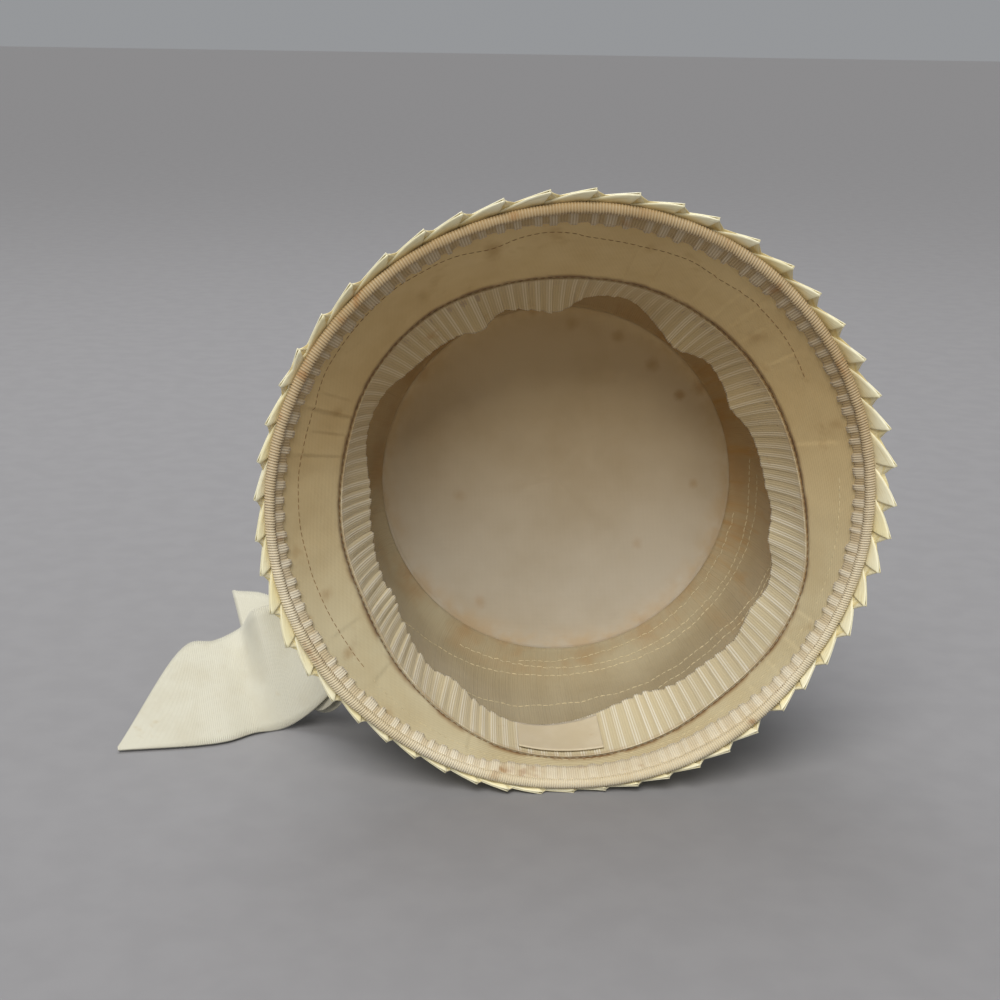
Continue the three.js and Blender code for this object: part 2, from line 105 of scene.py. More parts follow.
# How far the sweatband's free edge droops inward: clock, share of its width
DROOP = [
    (3, 0.33), (12, 0.24), (17, 0.27), (25, 0.46), (32, 0.57), (42, 0.4), (51, 0.44), (57, 0.51),
    (67, 0.37), (83, 0.33), (91, 0.29), (99, 0.36), (106, 0.24), (112, 0.2), (120, 0.27), (129, 0.15),
    (140, 0.19), (150, 0.23), (157, 0.38), (168, 0.36), (178, 0.22), (190, 0.11), (204, 0.15),
    (212, 0.26), (220, 0.14), (236, 0.24), (243, 0.29), (248, 0.24), (263, 0.33), (276, 0.38),
    (290, 0.23), (301, 0.28), (312, 0.46), (328, 0.55), (333, 0.62), (341, 0.43), (350, 0.51),
    (356, 0.54),
]

# How far the straw's points stand out past the binding: clock, share of EDGE_REACH
OVERHANG = [
    (0, 0.71), (30, 0.73), (60, 0.9), (80, 1.0), (95, 0.85), (110, 0.78), (120, 0.58), (132, 0.43),
    (150, 0.32), (165, 0.2), (178, 0.12), (192, 0.32), (210, 0.3), (225, 0.33), (240, 0.47), (252, 0.68),
    (270, 0.5), (290, 0.48), (305, 0.57), (320, 0.66), (340, 0.77),
]

# How far the brim's edge is trimmed back: clock, share of BRIM_TRIM
EDGE_TRIM = [
    (0, 0.24), (30, 0.2), (45, 0.36), (60, 0.44), (90, 0.56), (105, 0.8), (120, 0.96), (130, 0.8),
    (140, 0.62), (152, 0.5), (165, 0.62), (180, 0.82), (200, 0.78), (215, 0.72), (226, 0.6), (236, 0.4),
    (250, 0.38), (270, 0.4), (290, 0.38), (310, 0.5), (330, 0.6), (345, 0.58),
]


def round_the_clock(rows):
    """A smooth curve through a table's rows, closed round the clock."""
    clock, share = np.array(rows, float).T
    count = len(clock)

    def row(index):
        lap = np.floor_divide(index, count)
        return clock[index - lap * count] + 360 * lap, share[index - lap * count]

    def at(angle):
        angle = np.mod(angle, 360.0)
        index = np.searchsorted(clock, angle, side="right") - 1
        (ca, sa), (cb, sb), (cc, sc), (cd, sd) = (row(index + k) for k in (-1, 0, 1, 2))
        span = cc - cb
        t = (angle - cb) / span
        slope_b = (sc - sa) / (cc - ca) * span
        slope_c = (sd - sb) / (cd - cb) * span
        rise = sc - sb
        return sb + t * (slope_b + t * (3 * rise - 2 * slope_b - slope_c + t * (slope_b + slope_c - 2 * rise)))

    return at


head_share = round_the_clock(HEAD_LINE)
droop_share = round_the_clock(DROOP)
overhang_share = round_the_clock(OVERHANG)
trim_share = round_the_clock(EDGE_TRIM)


def head_at(clock):
    return HEAD_RADIUS * head_share(clock)


def rim_at(clock):
    """The brim's edge: its distance from the hat's axis and its depth."""
    x, z = np.sin(np.radians(clock)), np.cos(np.radians(clock))
    along = RIM_SIDEWAYS * x + RIM_FORWARD * z
    circle = along + np.sqrt(RIM_RADIUS**2 - RIM_SIDEWAYS**2 - RIM_FORWARD**2 + along**2)
    depth = BRIM_DEPTH + math.tan(RIM_LEAN) * circle * z
    kept = 1 - BRIM_TRIM * trim_share(clock) / np.hypot(circle - head_at(clock), depth)
    return head_at(clock) + (circle - head_at(clock)) * kept, -depth * kept


def brim_width(clock):
    rim_r, rim_y = rim_at(clock)
    return np.hypot(rim_r - head_at(clock), rim_y)


def in_from_circle(clock, inward):
    """The walk of a place on the brim, from how far in it is from the edge before its trim."""
    return inward - BRIM_TRIM * trim_share(clock) - brim_width(clock)


SIDE_LENGTH = math.hypot(CROWN_DEPTH, HEAD_RADIUS - TIP_RADIUS)


def wall(clock, walk):
    """The hat's wall in section. walk is the distance from the head line: below 0 down the brim, up to
    SIDE_LENGTH up the crown, then across the tip."""
    head = head_at(clock)
    rim_r, rim_y = rim_at(clock)
    down = -walk / np.hypot(rim_r - head, rim_y)
    t = np.clip(walk / SIDE_LENGTH, 0, 1)
    inward = CROWN_TAPER * t + (1 - CROWN_TAPER) * t**SHOULDER_POWER
    left = np.clip(1 - (walk - SIDE_LENGTH) / TIP_RADIUS, 0, 1)
    on_brim, on_side = walk < 0, walk < SIDE_LENGTH
    beyond_r = np.where(on_side, head + (TIP_RADIUS - head) * inward, TIP_RADIUS * left)
    beyond_y = np.where(on_side, CROWN_DEPTH * t, CROWN_DEPTH + TIP_RISE * np.sqrt(1 - left**2))
    return np.where(on_brim, head + (rim_r - head) * down, beyond_r), np.where(on_brim, rim_y * down, beyond_y)


def round_axis(clock, r, y):
    """Points at clock angles, distances from the hat's axis and depths."""
    clock, r, y = np.broadcast_arrays(clock, r, y)
    return np.stack([r * np.sin(np.radians(clock)), y, r * np.cos(np.radians(clock))], axis=-1)


def off_wall(clock, walk, out, reach=3.0):
    """Points out from the wall's middle, along its outward normal."""
    r, y = wall(clock, walk)
    low_r, low_y = wall(clock, walk - reach)
    high_r, high_y = wall(clock, walk + reach)
    dr, dy = high_r - low_r, high_y - low_y
    length = np.hypot(dr, dy)
    return round_axis(clock, r + out * dy / length, y - out * dr / length)


# The hat's axes in the frame, from the flat face at its tip
tip_face = next(mount for mount in frame["record"]["mounts"] if mount["name"] == "tip_face")
TIPWARD = np.array(tip_face["axis"]) / np.linalg.norm(tip_face["axis"])
FRONTWARD = np.array([0.0, -TIPWARD[2], TIPWARD[1]])
HAT_AXES = np.array([[1.0, 0.0, 0.0], TIPWARD, FRONTWARD])
tip_distance = CROWN_DEPTH + TIP_RISE + STRAW_BASE + BUTTON_HEIGHT
HEAD_CENTRE = np.array(tip_face["pos_m"]) - TIPWARD * tip_distance * MM


def placed(points):
    return HEAD_CENTRE + MM * np.asarray(points) @ HAT_AXES


# Meshes
def piece(name, points, faces, finish, nodes=(), marks=None, in_frame=False):
    """A closed piece. marks are vectors kept at its points for its finish to read."""
    mesh = bpy.data.meshes.new(name)
    points = np.asarray(points, float)
    places = points * MM if in_frame else placed(points)
    mesh.from_pydata(places.tolist(), [], [list(face) for face in faces])
    for mark, values in (marks or {}).items():
        layer = mesh.attributes.new(mark, "FLOAT_VECTOR", "POINT")
        layer.data.foreach_set("vector", np.asarray(values, np.float32).ravel())
    work = bmesh.new()
    work.from_mesh(mesh)
    bmesh.ops.recalc_face_normals(work, faces=work.faces)
    work.to_mesh(mesh)
    work.free()
    mesh.polygons.foreach_set("use_smooth", [True] * len(mesh.polygons))
    made = bpy.data.objects.new(name, mesh)
    bpy.context.collection.objects.link(made)
    made.data.materials.append(finish)
    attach(made, "root")
    if nodes:
        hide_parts(*nodes)
    return made


def woven_faces(columns, rows, hoop, tube):
    """Quads between neighbouring points of a grid, closed round its columns, its rows or both."""
    i = np.arange(columns if hoop else columns - 1)[:, None]
    j = np.arange(rows if tube else rows - 1)[None, :]
    a, b = i * rows + j, (i + 1) % columns * rows + j
    c, d = (i + 1) % columns * rows + (j + 1) % rows, i * rows + (j + 1) % rows
    return np.stack([a, b, c, d], axis=-1).reshape(-1, 4)


def hoop_piece(name, front, back, finish, nodes=(), marks=None):
    """A sheet all round the hat, from its seen face and its hidden face."""
    grid = np.concatenate([front, back[:, ::-1]], axis=1)
    faces = woven_faces(grid.shape[0], grid.shape[1], True, True)
    return piece(name, grid.reshape(-1, 3), faces, finish, nodes, marks)


def end_caps(columns, rows):
    """Quads that close a sheet's two ends, each from its seen face to its hidden face."""
    firsts = (0, (columns - 1) * rows)
    return [[k + j, k + j + 1, k + rows - 2 - j, k + rows - 1 - j] for k in firsts for j in range(rows // 2 - 1)]


def strip_piece(name, front, back, finish, nodes=(), in_frame=False):
    """A sheet with two ends."""
    grid = np.concatenate([front, back[:, ::-1]], axis=1)
    columns, rows = grid.shape[:2]
    faces = woven_faces(columns, rows, False, True).tolist() + end_caps(columns, rows)
    return piece(name, grid.reshape(-1, 3), faces, finish, nodes, in_frame=in_frame)


def off_clock(clock, at):
    """How far a clock angle is from another, from -180 to 180."""
    return np.mod(clock - at + 180, 360) - 180


def noise_round(clock, scale, seed):
    """A smooth wander round the clock, about -1 to 1, from a few waves of seeded sizes and starts."""
    waves = 6
    draw = np.random.default_rng(seed)
    total = np.zeros_like(np.asarray(clock, float))
    for _ in range(waves):
        wave = int(draw.integers(max(1, scale // 2), scale * 2))
        total = total + draw.uniform(0.4, 1.0) * np.sin(np.radians(clock) * wave + draw.uniform(0, math.tau))
    return total / math.sqrt(waves)


# Finishes
class Wire:
    """A socket of a finish. Sums on wires add Math nodes to it."""

    def __init__(self, finish, socket):
        self.finish = finish
        self.socket = socket

    def maths(self, operation, *values):
        return self.finish.node("ShaderNodeMath", {"operation": operation}, dict(enumerate(values)))

    def __add__(self, other):
        return self.maths("ADD", self, other)

    def __radd__(self, other):
        return self.maths("ADD", other, self)

    def __sub__(self, other):
        return self.maths("SUBTRACT", self, other)

    def __rsub__(self, other):
        return self.maths("SUBTRACT", other, self)

    def __mul__(self, other):
        return self.maths("MULTIPLY", self, other)

    def __rmul__(self, other):
        return self.maths("MULTIPLY", other, self)

    def __pow__(self, other):
        return self.maths("POWER", self, other)

    def sine(self):
        return self.maths("SINE", self)

    def size(self):
        return self.maths("ABSOLUTE", self)

    def most(self, other):
        return self.maths("MAXIMUM", self, other)

    def eased(self, low, high):
        """0 below low, 1 above high, smooth between."""
        inputs = {"Value": self, "From Min": low, "From Max": high, "To Min": 0.0, "To Max": 1.0}
        return self.finish.node("ShaderNodeMapRange", {"interpolation_type": "SMOOTHSTEP"}, inputs)


class Finish:
    """A material: one Principled shader, and what varies over it."""

    def __init__(self, name, **fixed):
        self.material = bpy.data.materials.new(name)
        self.material.use_nodes = True
        self.tree = self.material.node_tree
        self.shader = self.tree.nodes["Principled BSDF"]
        for socket, value in fixed.items():
            self.shader.inputs[socket.replace("_", " ")].default_value = value

    def node(self, kind, settings=None, inputs=None, output=0):
        made = self.tree.nodes.new(kind)
        for name, value in (settings or {}).items():
            setattr(made, name, value)
        for key, value in (inputs or {}).items():
            socket = made.inputs[key]
            if isinstance(value, Wire):
                self.tree.links.new(value.socket, socket)
            elif isinstance(value, tuple) and len(value) == 3 and socket.type == "RGBA":
                socket.default_value = (*value, 1.0)
            else:
                socket.default_value = value
        return Wire(self, made.outputs[output])

    def blend(self, share, first, second):
        """One colour into another."""
        return self.node("ShaderNodeMix", {"data_type": "RGBA"}, {0: share, 6: first, 7: second}, output=2)

    def vector_maths(self, operation, first, second=None, output=1):
        inputs = {0: first} if second is None else {0: first, 1: second}
        return self.node("ShaderNodeVectorMath", {"operation": operation}, inputs, output)

    def place(self):
        return self.node("ShaderNodeTexCoord", output=3)

    def hat_axes(self):
        """Where a point is on the hat's own axes, in millimetres."""
        from_head = self.vector_maths("SUBTRACT", self.place(), tuple(HEAD_CENTRE), output=0)
        return [self.vector_maths("DOT_PRODUCT", from_head, tuple(axis / MM)) for axis in HAT_AXES]

    def clock_of(self, x, z):
        """The clock angle in radians, from -pi to pi."""
        return x.maths("ARCTAN2", x, z)

    def mark(self, name):
        vector = self.node("ShaderNodeAttribute", {"attribute_name": name}, output=1)
        return [self.node("ShaderNodeSeparateXYZ", None, {0: vector}, output=k) for k in range(3)]

    def mottle(self, scale, detail, roughness, where=None):
        inputs = {"Scale": scale, "Detail": detail, "Roughness": roughness, "Vector": where or self.place()}
        return self.node("ShaderNodeTexNoise", None, inputs)

    def patches(self, scale, detail, roughness, low, high):
        """Soft-edged patches, 0 to 1. A higher low and high make them rarer."""
        return self.mottle(scale, detail, roughness).eased(low, high)

    def stains(self, across, spots, strongest=0.0):
        """The strongest of a few ragged spots. Each has its x, z, radius and strength."""
        for spot_x, spot_z, reach, strength in spots:
            far = self.vector_maths("DISTANCE", across, (spot_x, 0.0, spot_z))
            ragged = far + (self.mottle(140, 3, 0.7) - 0.5) * reach
            strongest = ((1 - ragged.eased(0.0, float(reach))) * strength).most(strongest)
        return strongest

    def vector(self, x, y, z):
        return self.node("ShaderNodeCombineXYZ", None, {0: x, 1: y, 2: z})

    def wear(self, colour, *reliefs):
        """Joins the colour and the reliefs, each a (height, millimetres), to the shader."""
        self.tree.links.new(colour.socket, self.shader.inputs["Base Color"])
        below = {}
        for height, depth in reliefs:
            inputs = {"Height": height, "Distance": depth * MM, "Strength": 1.0, **below}
            below = {"Normal": self.node("ShaderNodeBump", None, inputs)}
        for relief in below.values():
            self.tree.links.new(relief.socket, self.shader.inputs["Normal"])
        return self.material

    def thread_grain(self):
        """The fine relief of a ribbon's threads."""
        return self.mottle(900, 2, 0.5), 0.03


def tone(red, green, blue):
    """A colour from the 0 to 255 values that a screen shows it with."""
    shares = np.array([red, green, blue]) / 255
    return tuple(np.where(shares <= 0.04045, shares / 12.92, ((shares + 0.055) / 1.055) ** 2.4).tolist())


WEAVE_PITCH = 0.55
WARP_THREADS = 560
NET_PITCH = 0.95

# Lining cloth: where the tip is stained, as x, z, radius and strength
TIP_STAINS = [
    (-11, 71, 4, 0.7), (5.5, 65, 4, 0.6), (24.6, 60.3, 4, 0.7), (39.4, 48.7, 4.5, 0.8),
    (51.3, 35.7, 3.5, 1.0), (59.7, 39.7, 5, 0.9), (58.5, -2.2, 3, 0.6), (35.2, -28.6, 3.5, 0.4),
    (-31.4, -53.6, 4, 0.5),
    (-69, -31, 5, 0.9), (-68.6, -42.9, 4, 0.9), (38.6, -61.6, 3.5, 0.4), (22.5, -71.4, 4, 0.5),
    (-40.3, -7.6, 4, 0.4), (-56.8, 44.6, 5, 0.5),
]


def tip_cloth():
    finish = Finish("tip lining cloth", Roughness=0.85, Sheen_Weight=0.15, Specular_IOR_Level=0.25)
    x, y, z = finish.hat_axes()
    across = finish.vector(x, 0.0, z)
    stain = finish.stains(across, TIP_STAINS)
    cloud = finish.patches(18, 4, 0.6, 0.35, 0.7)
    # Painted shade: the tip turns darker and browner towards the hat's front (high z), with a paler lit tone
    # towards its back.
    high = z.eased(-55.0, 70.0)
    lit_lower_tone = finish.blend(cloud, tone(196, 186, 168), tone(186, 174, 153))
    shaded_upper_tone = finish.blend(cloud, tone(212, 187, 143), tone(200, 173, 127))
    plain = finish.blend(high, lit_lower_tone, shaded_upper_tone)
    from_middle = finish.vector_maths("LENGTH", across)
    ring = from_middle.eased(62.0, 75.0) * finish.patches(50, 3, 0.7, 0.35, 0.65)
    edged = finish.blend(ring * 0.55, plain, tone(184, 150, 100))
    soiled = finish.blend(stain * 0.6, edged, tone(166, 124, 70))
    weave = (x * (math.tau / WEAVE_PITCH)).sine() + (z * (math.tau / WEAVE_PITCH)).sine()
    return finish.wear(soiled, (weave, 0.012), (finish.mottle(35, 3, 0.5), 0.6))


def lining_cloth():
    finish = Finish("crown lining cloth", Roughness=0.85, Sheen_Weight=0.15, Specular_IOR_Level=0.25)
    x, y, z = finish.hat_axes()
    clock = finish.clock_of(x, z)
    cloud = finish.patches(22, 4, 0.6, 0.35, 0.7)
    right = (clock - 1.3).size().eased(0.3, 1.3)
    # Painted shade: the lining turns browner towards the hat's front (high z).
    lit_lower_tone = finish.blend(cloud, tone(180, 168, 139), tone(168, 154, 123))
    shaded_upper_tone = finish.blend(cloud, tone(186, 158, 114), tone(174, 145, 100))
    plain = finish.blend(z.eased(-50.0, 50.0), lit_lower_tone, shaded_upper_tone)
    streak = finish.mottle(1.0, 3, 0.65, finish.vector(clock * 9.0, y * 0.03, 2.0)).eased(0.48, 0.7)
    ochre = finish.blend((1 - right) * (streak * 0.6 + 0.3), plain, tone(178, 138, 80))
    seam = y.eased(66.0, 82.0) * finish.patches(45, 3, 0.7, 0.4, 0.7)
    soiled = finish.blend(seam * 0.6, ochre, tone(168, 126, 74))
    folds = finish.mottle(1.0, 2, 0.6, finish.vector(clock * 70, y * 0.02, 0.0))
    warp = (clock * WARP_THREADS).sine()
    return finish.wear(soiled, (warp, 0.02), (folds, 0.35))


# Stains of the facing: clock, distance from the hat's axis, radius and strength
FACING_STAINS = [
    (42, 94, 4, 0.6), (225, 99, 4, 0.8), (241, 96, 3.5, 0.7), (252, 103, 3, 0.6), (255, 95, 3.5, 0.6),
    (342, 106, 5, 0.8), (12, 104, 3, 0.5), (66, 99, 3, 0.6), (200, 104, 3, 0.5), (326, 101, 4, 0.5),
    (296, 97, 3, 0.6), (110, 99, 2.5, 0.4),
]


def facing_cloth():
    finish = Finish("brim facing cloth", Roughness=0.82, Sheen_Weight=0.1, Specular_IOR_Level=0.25)
    x, y, z = finish.hat_axes()
    across = finish.vector(x, 0.0, z)
    cloud = finish.patches(20, 4, 0.62, 0.35, 0.7)
    # Painted shade: the facing turns browner towards the hat's front (high z).
    lit_lower_tone = finish.blend(cloud, tone(216, 205, 170), tone(206, 191, 152))
    shaded_upper_tone = finish.blend(cloud, tone(220, 193, 140), tone(206, 176, 122))
    plain = finish.blend(z.eased(-60.0, 60.0), lit_lower_tone, shaded_upper_tone)
    spots = [
        (far_out * math.sin(math.radians(clock)), far_out * math.cos(math.radians(clock)), *rest)
        for clock, far_out, *rest in FACING_STAINS
    ]
    stain = finish.stains(across, spots, finish.patches(55, 3, 0.7, 0.6, 0.78) * 0.5)
    soiled = finish.blend(stain * 0.6, plain, tone(160, 118, 62))
    by_head_line = (1 - (y * -1.0).eased(0.0, 3.0)) * finish.patches(80, 2, 0.7, 0.35, 0.6)
    edged = finish.blend(by_head_line, soiled, tone(138, 98, 52))
    net = ((x + z) * (math.tau / NET_PITCH)).sine() * ((x - z) * (math.tau / NET_PITCH)).sine()
    sheer = finish.patches(14, 2, 0.5, 0.4, 0.62)
    netted = finish.blend(net.eased(-0.2, 0.9) * (sheer * 0.22 + 0.08), edged, tone(140, 112, 70))
    return finish.wear(netted, (net, 0.03), (finish.mottle(60, 3, 0.5), 0.35))


def ribbon_cloth(name, base, worn, rust):
    finish = Finish(name, Roughness=0.48, Sheen_Weight=0.25, Specular_IOR_Level=0.4)
    plain = finish.blend(finish.patches(40, 4, 0.6, 0.4, 0.7), base, worn)
    spots = finish.patches(70, 3, 0.7, 0.63, 0.8)
    return finish.wear(finish.blend(spots * 0.7, plain, rust), finish.thread_grain())


def binding_cloth():
    finish = Finish("binding ribbon", Roughness=0.5, Sheen_Weight=0.2, Specular_IOR_Level=0.4)
    x, y, z = finish.hat_axes()
    patch, rib, roll = finish.mark("binding")
    # Painted shade: upper marks the hat's front (high z), where the ribbon gets the darker, browner tone.
    upper = z.eased(-40.0, 60.0)
    valley_dirt_and_shade = (0.5 - rib * 0.5) ** 1.3
    cloud = finish.patches(30, 4, 0.6, 0.35, 0.7)
    pale = finish.blend(cloud, tone(240, 230, 204), tone(228, 214, 180))
    dark = finish.blend(cloud, tone(204, 184, 148), tone(186, 162, 122))
    plain = finish.blend(upper, pale, dark)
    # Painted shade on the leg between the puckers, and a painted highlight on the puckers, brighter towards the
    # back.
    on_leg = 1 - roll.eased(0.55, 0.9)
    between = finish.blend(on_leg * (1 - patch) * (upper * 0.3 + 0.25), plain, tone(176, 148, 100))
    highlight_tone = finish.blend(upper, tone(244, 238, 220), tone(222, 208, 182))
    pucker_highlights = finish.blend(patch * 0.5, between, highlight_tone)
    # The rib valleys are darkened: partly dirt in them, partly painted shade, stronger towards the hat's front.
    ribbed = finish.blend(valley_dirt_and_shade * (upper * 0.4 + 0.3), pucker_highlights, tone(156, 126, 78))
    spots = finish.patches(60, 3, 0.7, 0.6, 0.75)
    return finish.wear(finish.blend(spots * 0.7, ribbed, tone(164, 116, 62)), finish.thread_grain())


def sweatband_cloth():
    finish = Finish("sweatband ribbon", Roughness=0.5, Sheen_Weight=0.2, Specular_IOR_Level=0.4)
    x, y, z = finish.hat_axes()
    down, pleat, rib = finish.mark("band")
    # Painted shade: the band turns darker and browner towards the hat's front (high z).
    upper = z.eased(-30.0, 60.0)
    plain = finish.blend(upper, tone(218, 206, 172), tone(196, 172, 126))
    # Painted highlight: the raised faces of the pleats are painted paler, streaked along their ribs.
    highlight_tone = finish.blend(upper, tone(250, 246, 232), tone(224, 208, 178))
    pleat_highlights = finish.blend(pleat.eased(0.1, 0.9) * 0.75, plain, highlight_tone)
    # Painted shade in the rib grooves, stronger towards the hat's front.
    ribbed = finish.blend((0.5 - rib * 0.5) ** 1.5 * (upper * 0.2 + 0.22), pleat_highlights, tone(170, 148, 104))
    at_root = (1 - down.eased(0.0, 0.09)) * finish.patches(60, 3, 0.7, 0.3, 0.6) * 0.45
    edged = finish.blend(at_root, ribbed, tone(150, 112, 62))
    spots = finish.patches(70, 3, 0.7, 0.64, 0.8)
    return finish.wear(finish.blend(spots * 0.6, edged, tone(176, 132, 74)), finish.thread_grain())


def straw_gloss():
    finish = Finish("glossy straw", Roughness=0.38, Specular_IOR_Level=0.5, Coat_Weight=0.2, Coat_Roughness=0.3)
    across, along, straw = finish.mark("straw")
    depth, ply, _ = finish.mark("braid")
    x, y, z = finish.hat_axes()
    upper = z.eased(20.0, 75.0)
    grain = finish.mottle(1.0, 3, 0.6, finish.vector(across * 2.2, along * 0.1, straw * 7.0))
    tint = finish.mottle(1.0, 1, 0.5, finish.vector(straw * 3.7, along * 0.03, 0.0)).eased(0.3, 0.7)
    plain = finish.blend(tint, tone(255, 250, 220), tone(254, 244, 196))
    # Painted shade: deeper in from the points, and more towards the hat's front (upper), the straw turns ochre,
    # as in the shade by the binding.
    deep_shade = finish.blend((upper * 0.5 + 0.1) * depth.eased(2.0, 8.0), plain, tone(232, 206, 126))
    streaked = finish.blend(grain.eased(0.5, 0.72) * 0.4, deep_shade, tone(208, 186, 122))
    # Painted shade: the back plies and the backing turn a darker ochre, more towards the hat's front.
    behind = finish.blend(ply.eased(0.0, 2.0) * (upper * 0.25 + 0.3), streaked, tone(220, 190, 112))
    # Painted highlight: a paler line along one edge of each straw.
    edges = 1 - across.eased(0.0, 0.5)
    return finish.wear(finish.blend(edges * 0.35, behind, tone(250, 244, 216)), (grain, 0.12))


def thread_finish(name, colour):
    finish = Finish(name, Roughness=0.7)
    dark = tuple(0.75 * value for value in colour)
    return finish.wear(finish.blend(finish.patches(300, 2, 0.5, 0.3, 0.7), colour, dark))


TIP_CLOTH = tip_cloth()
LINING_CLOTH = lining_cloth()
FACING_CLOTH = facing_cloth()
BINDING_RIBBON = binding_cloth()
SWEATBAND_RIBBON = sweatband_cloth()
OUTER_RIBBON = ribbon_cloth("outer ribbon", tone(208, 205, 188), tone(200, 195, 175), tone(186, 170, 132))
LABEL_CLOTH = ribbon_cloth("bare label cloth", tone(222, 210, 184), tone(212, 198, 168), tone(190, 160, 110))
STRAW = straw_gloss()
BROWN_THREAD = thread_finish("brown thread", tone(146, 108, 62))
PALE_THREAD = thread_finish("pale thread", tone(226, 212, 172))


# Linings
def soft_corner(walk):
    """How far the cloth rounds off the corner between the side and the tip."""
    return 2.4 * np.clip(1 - np.abs(walk - SIDE_LENGTH) / 9, 0, 1) ** 2


def lining_out(clock, walk):
    folds = 0.35 * noise_round(clock, 26, 5) * np.sin(np.pi * np.clip(walk / SIDE_LENGTH, 0, 1))
    return -LINING_WALL / 2 - 0.4 + folds - soft_corner(walk)


def crown_lining():
    clock = np.arange(480)[:, None] * 0.75
    side, corner = np.linspace(GAP, SIDE_LENGTH - 10, 22), np.linspace(SIDE_LENGTH - 8, SIDE_LENGTH, 9)
    walk = np.concatenate([side, corner])[None, :]
    seen = off_wall(clock, walk, lining_out(clock, walk))
    hidden = off_wall(clock, walk[:, ::6], LINING_WALL / 2)
    hoop_piece("crown_lining_cloth", seen, hidden, LINING_CLOTH, ["crown_lining"])


def tip_lining():
    """The tip's cloth, a closed dome: rings from its seam to its middle, seen and hidden."""
    columns, rings = 240, 40
    clock = np.arange(columns)[:, None] * 360 / columns
    left = np.linspace(1.0, 0.02, rings)[None, :]
    walk = SIDE_LENGTH + TIP_RADIUS * (1 - left)
    swell = 0.5 * noise_round(clock, 7, 8) * left * (1 - left) * 2
    by_seam = 0.4 * np.clip(left * 6 - 5, 0, 1)
    seen = off_wall(clock, walk, -LINING_WALL / 2 - by_seam + swell - soft_corner(walk))
    hidden = off_wall(clock, walk[:, ::8], LINING_WALL / 2)
    grid = np.concatenate([hidden[:, ::-1], seen], axis=1)
    rows = grid.shape[1]
    points = grid.reshape(-1, 3)
    faces = woven_faces(columns, rows, True, False).tolist()
    middle = CROWN_DEPTH + TIP_RISE
    points = np.concatenate([points, [[0, middle + 0.6, 0], [0, middle - 0.6, 0]]])
    outside, inside = len(points) - 2, len(points) - 1
    for i in range(columns):
        j = (i + 1) % columns
        faces += [[i * rows, j * rows, outside], [i * rows + rows - 1, j * rows + rows - 1, inside]]
    piece("tip_lining_cloth", points, faces, TIP_CLOTH, ["tip_lining"])


# Creases of the facing: clock, half width in millimetres, depth, and where they start and end
# across the facing, from the head line (0) to the brim's edge (1)
CREASES = [
    (9.7, 0.45, 0.7, 0.0, 0.62), (15.8, 0.45, 0.8, 0.0, 0.62), (26.0, 0.4, 0.55, 0.0, 0.8),
    (32.0, 0.5, 0.5, 0.0, 0.75), (36.5, 0.5, 0.45, 0.05, 0.8), (41.0, 0.5, 0.4, 0.0, 0.5),
    (49.0, 0.5, 0.4, 0.1, 0.7), (112.0, 0.6, 0.35, 0.0, 0.7), (119.0, 0.6, 0.35, 0.0, 0.8),
    (126.0, 0.6, 0.3, 0.0, 0.7), (133.0, 0.6, 0.35, 0.1, 0.8), (286.0, 0.5, 0.45, 0.0, 0.8),
    (291.0, 0.45, 0.5, 0.0, 0.6), (295.5, 0.5, 1.0, 0.0, 0.8), (299.0, 0.45, 0.5, 0.1, 0.7),
    (232.0, 0.8, 0.3, 0.0, 0.6), (246.0, 0.8, 0.3, 0.1, 0.7), (205.0, 0.7, 0.3, 0.0, 0.6),
    (70.0, 0.7, 0.3, 0.0, 0.7),
]
FACING_RADIUS = 98


def facing_relief(clock, share):
    """How far the facing stands in or out, by its creases."""
    total = 0.25 * noise_round(clock, 30, 3) * np.sin(np.pi * share)
    for at, half, depth, start, end in CREASES:
        away = off_clock(clock, at) * math.radians(1) * FACING_RADIUS
        inside = np.clip((share - start) * 8, 0, 1) * np.clip((end - share) * 8, 0, 1)
        total = total + depth * inside * np.tanh(away / half) * np.exp(-((away / (4 * half)) ** 2))
    return total


def facing_out(clock, walk):
    """Where the facing's seen face lies, calm under the binding."""
    width = brim_width(clock)
    calm = np.clip((walk + width - 5.0) / 2, 0, 1)
    return -FACING_WALL / 2 - facing_relief(clock, -walk / width) * calm * 0.5 - 0.2 * calm


def brim_facing():
    clock = np.arange(1440)[:, None] * 0.25
    width = brim_width(clock)
    walk = -np.linspace(0.01, 1, 22)[None, :] * width
    seen = off_wall(clock, walk, facing_out(clock, walk))
    hidden = off_wall(clock, walk[:, ::7], FACING_WALL / 2)
    hoop_piece("brim_facing_cloth", seen, hidden, FACING_CLOTH, ["brim_facing"])


# Binding in section: how far in from the brim's edge, and how high off the facing's middle. The seen
# leg comes first, then the roll round the edge, the hidden leg and the sides towards the facing
BINDING_SECTION = [
    (9.6, -0.86), (9.35, -1.3), (8.3, -1.45), (7.1, -1.45), (6.0, -1.4), (5.1, -1.25), (4.7, -1.05),
    (4.2, -1.3), (3.2, -2.05), (1.9, -2.5), (0.5, -2.4), (-0.8, -1.75), (-1.6, -0.8), (-1.85, 0.2),
    (-1.4, 1.15), (-0.2, 1.7), (2.5, 1.85), (9.3, 1.75), (9.6, 1.3), (9.6, 0.8), (-0.3, 0.8), (-0.3, -0.8),
]
SECTION_NOSE, SECTION_SEAM, SECTION_END = -1.85, 4.6, 9.6
RIM_RIBS = 700
PUCKERS = 113

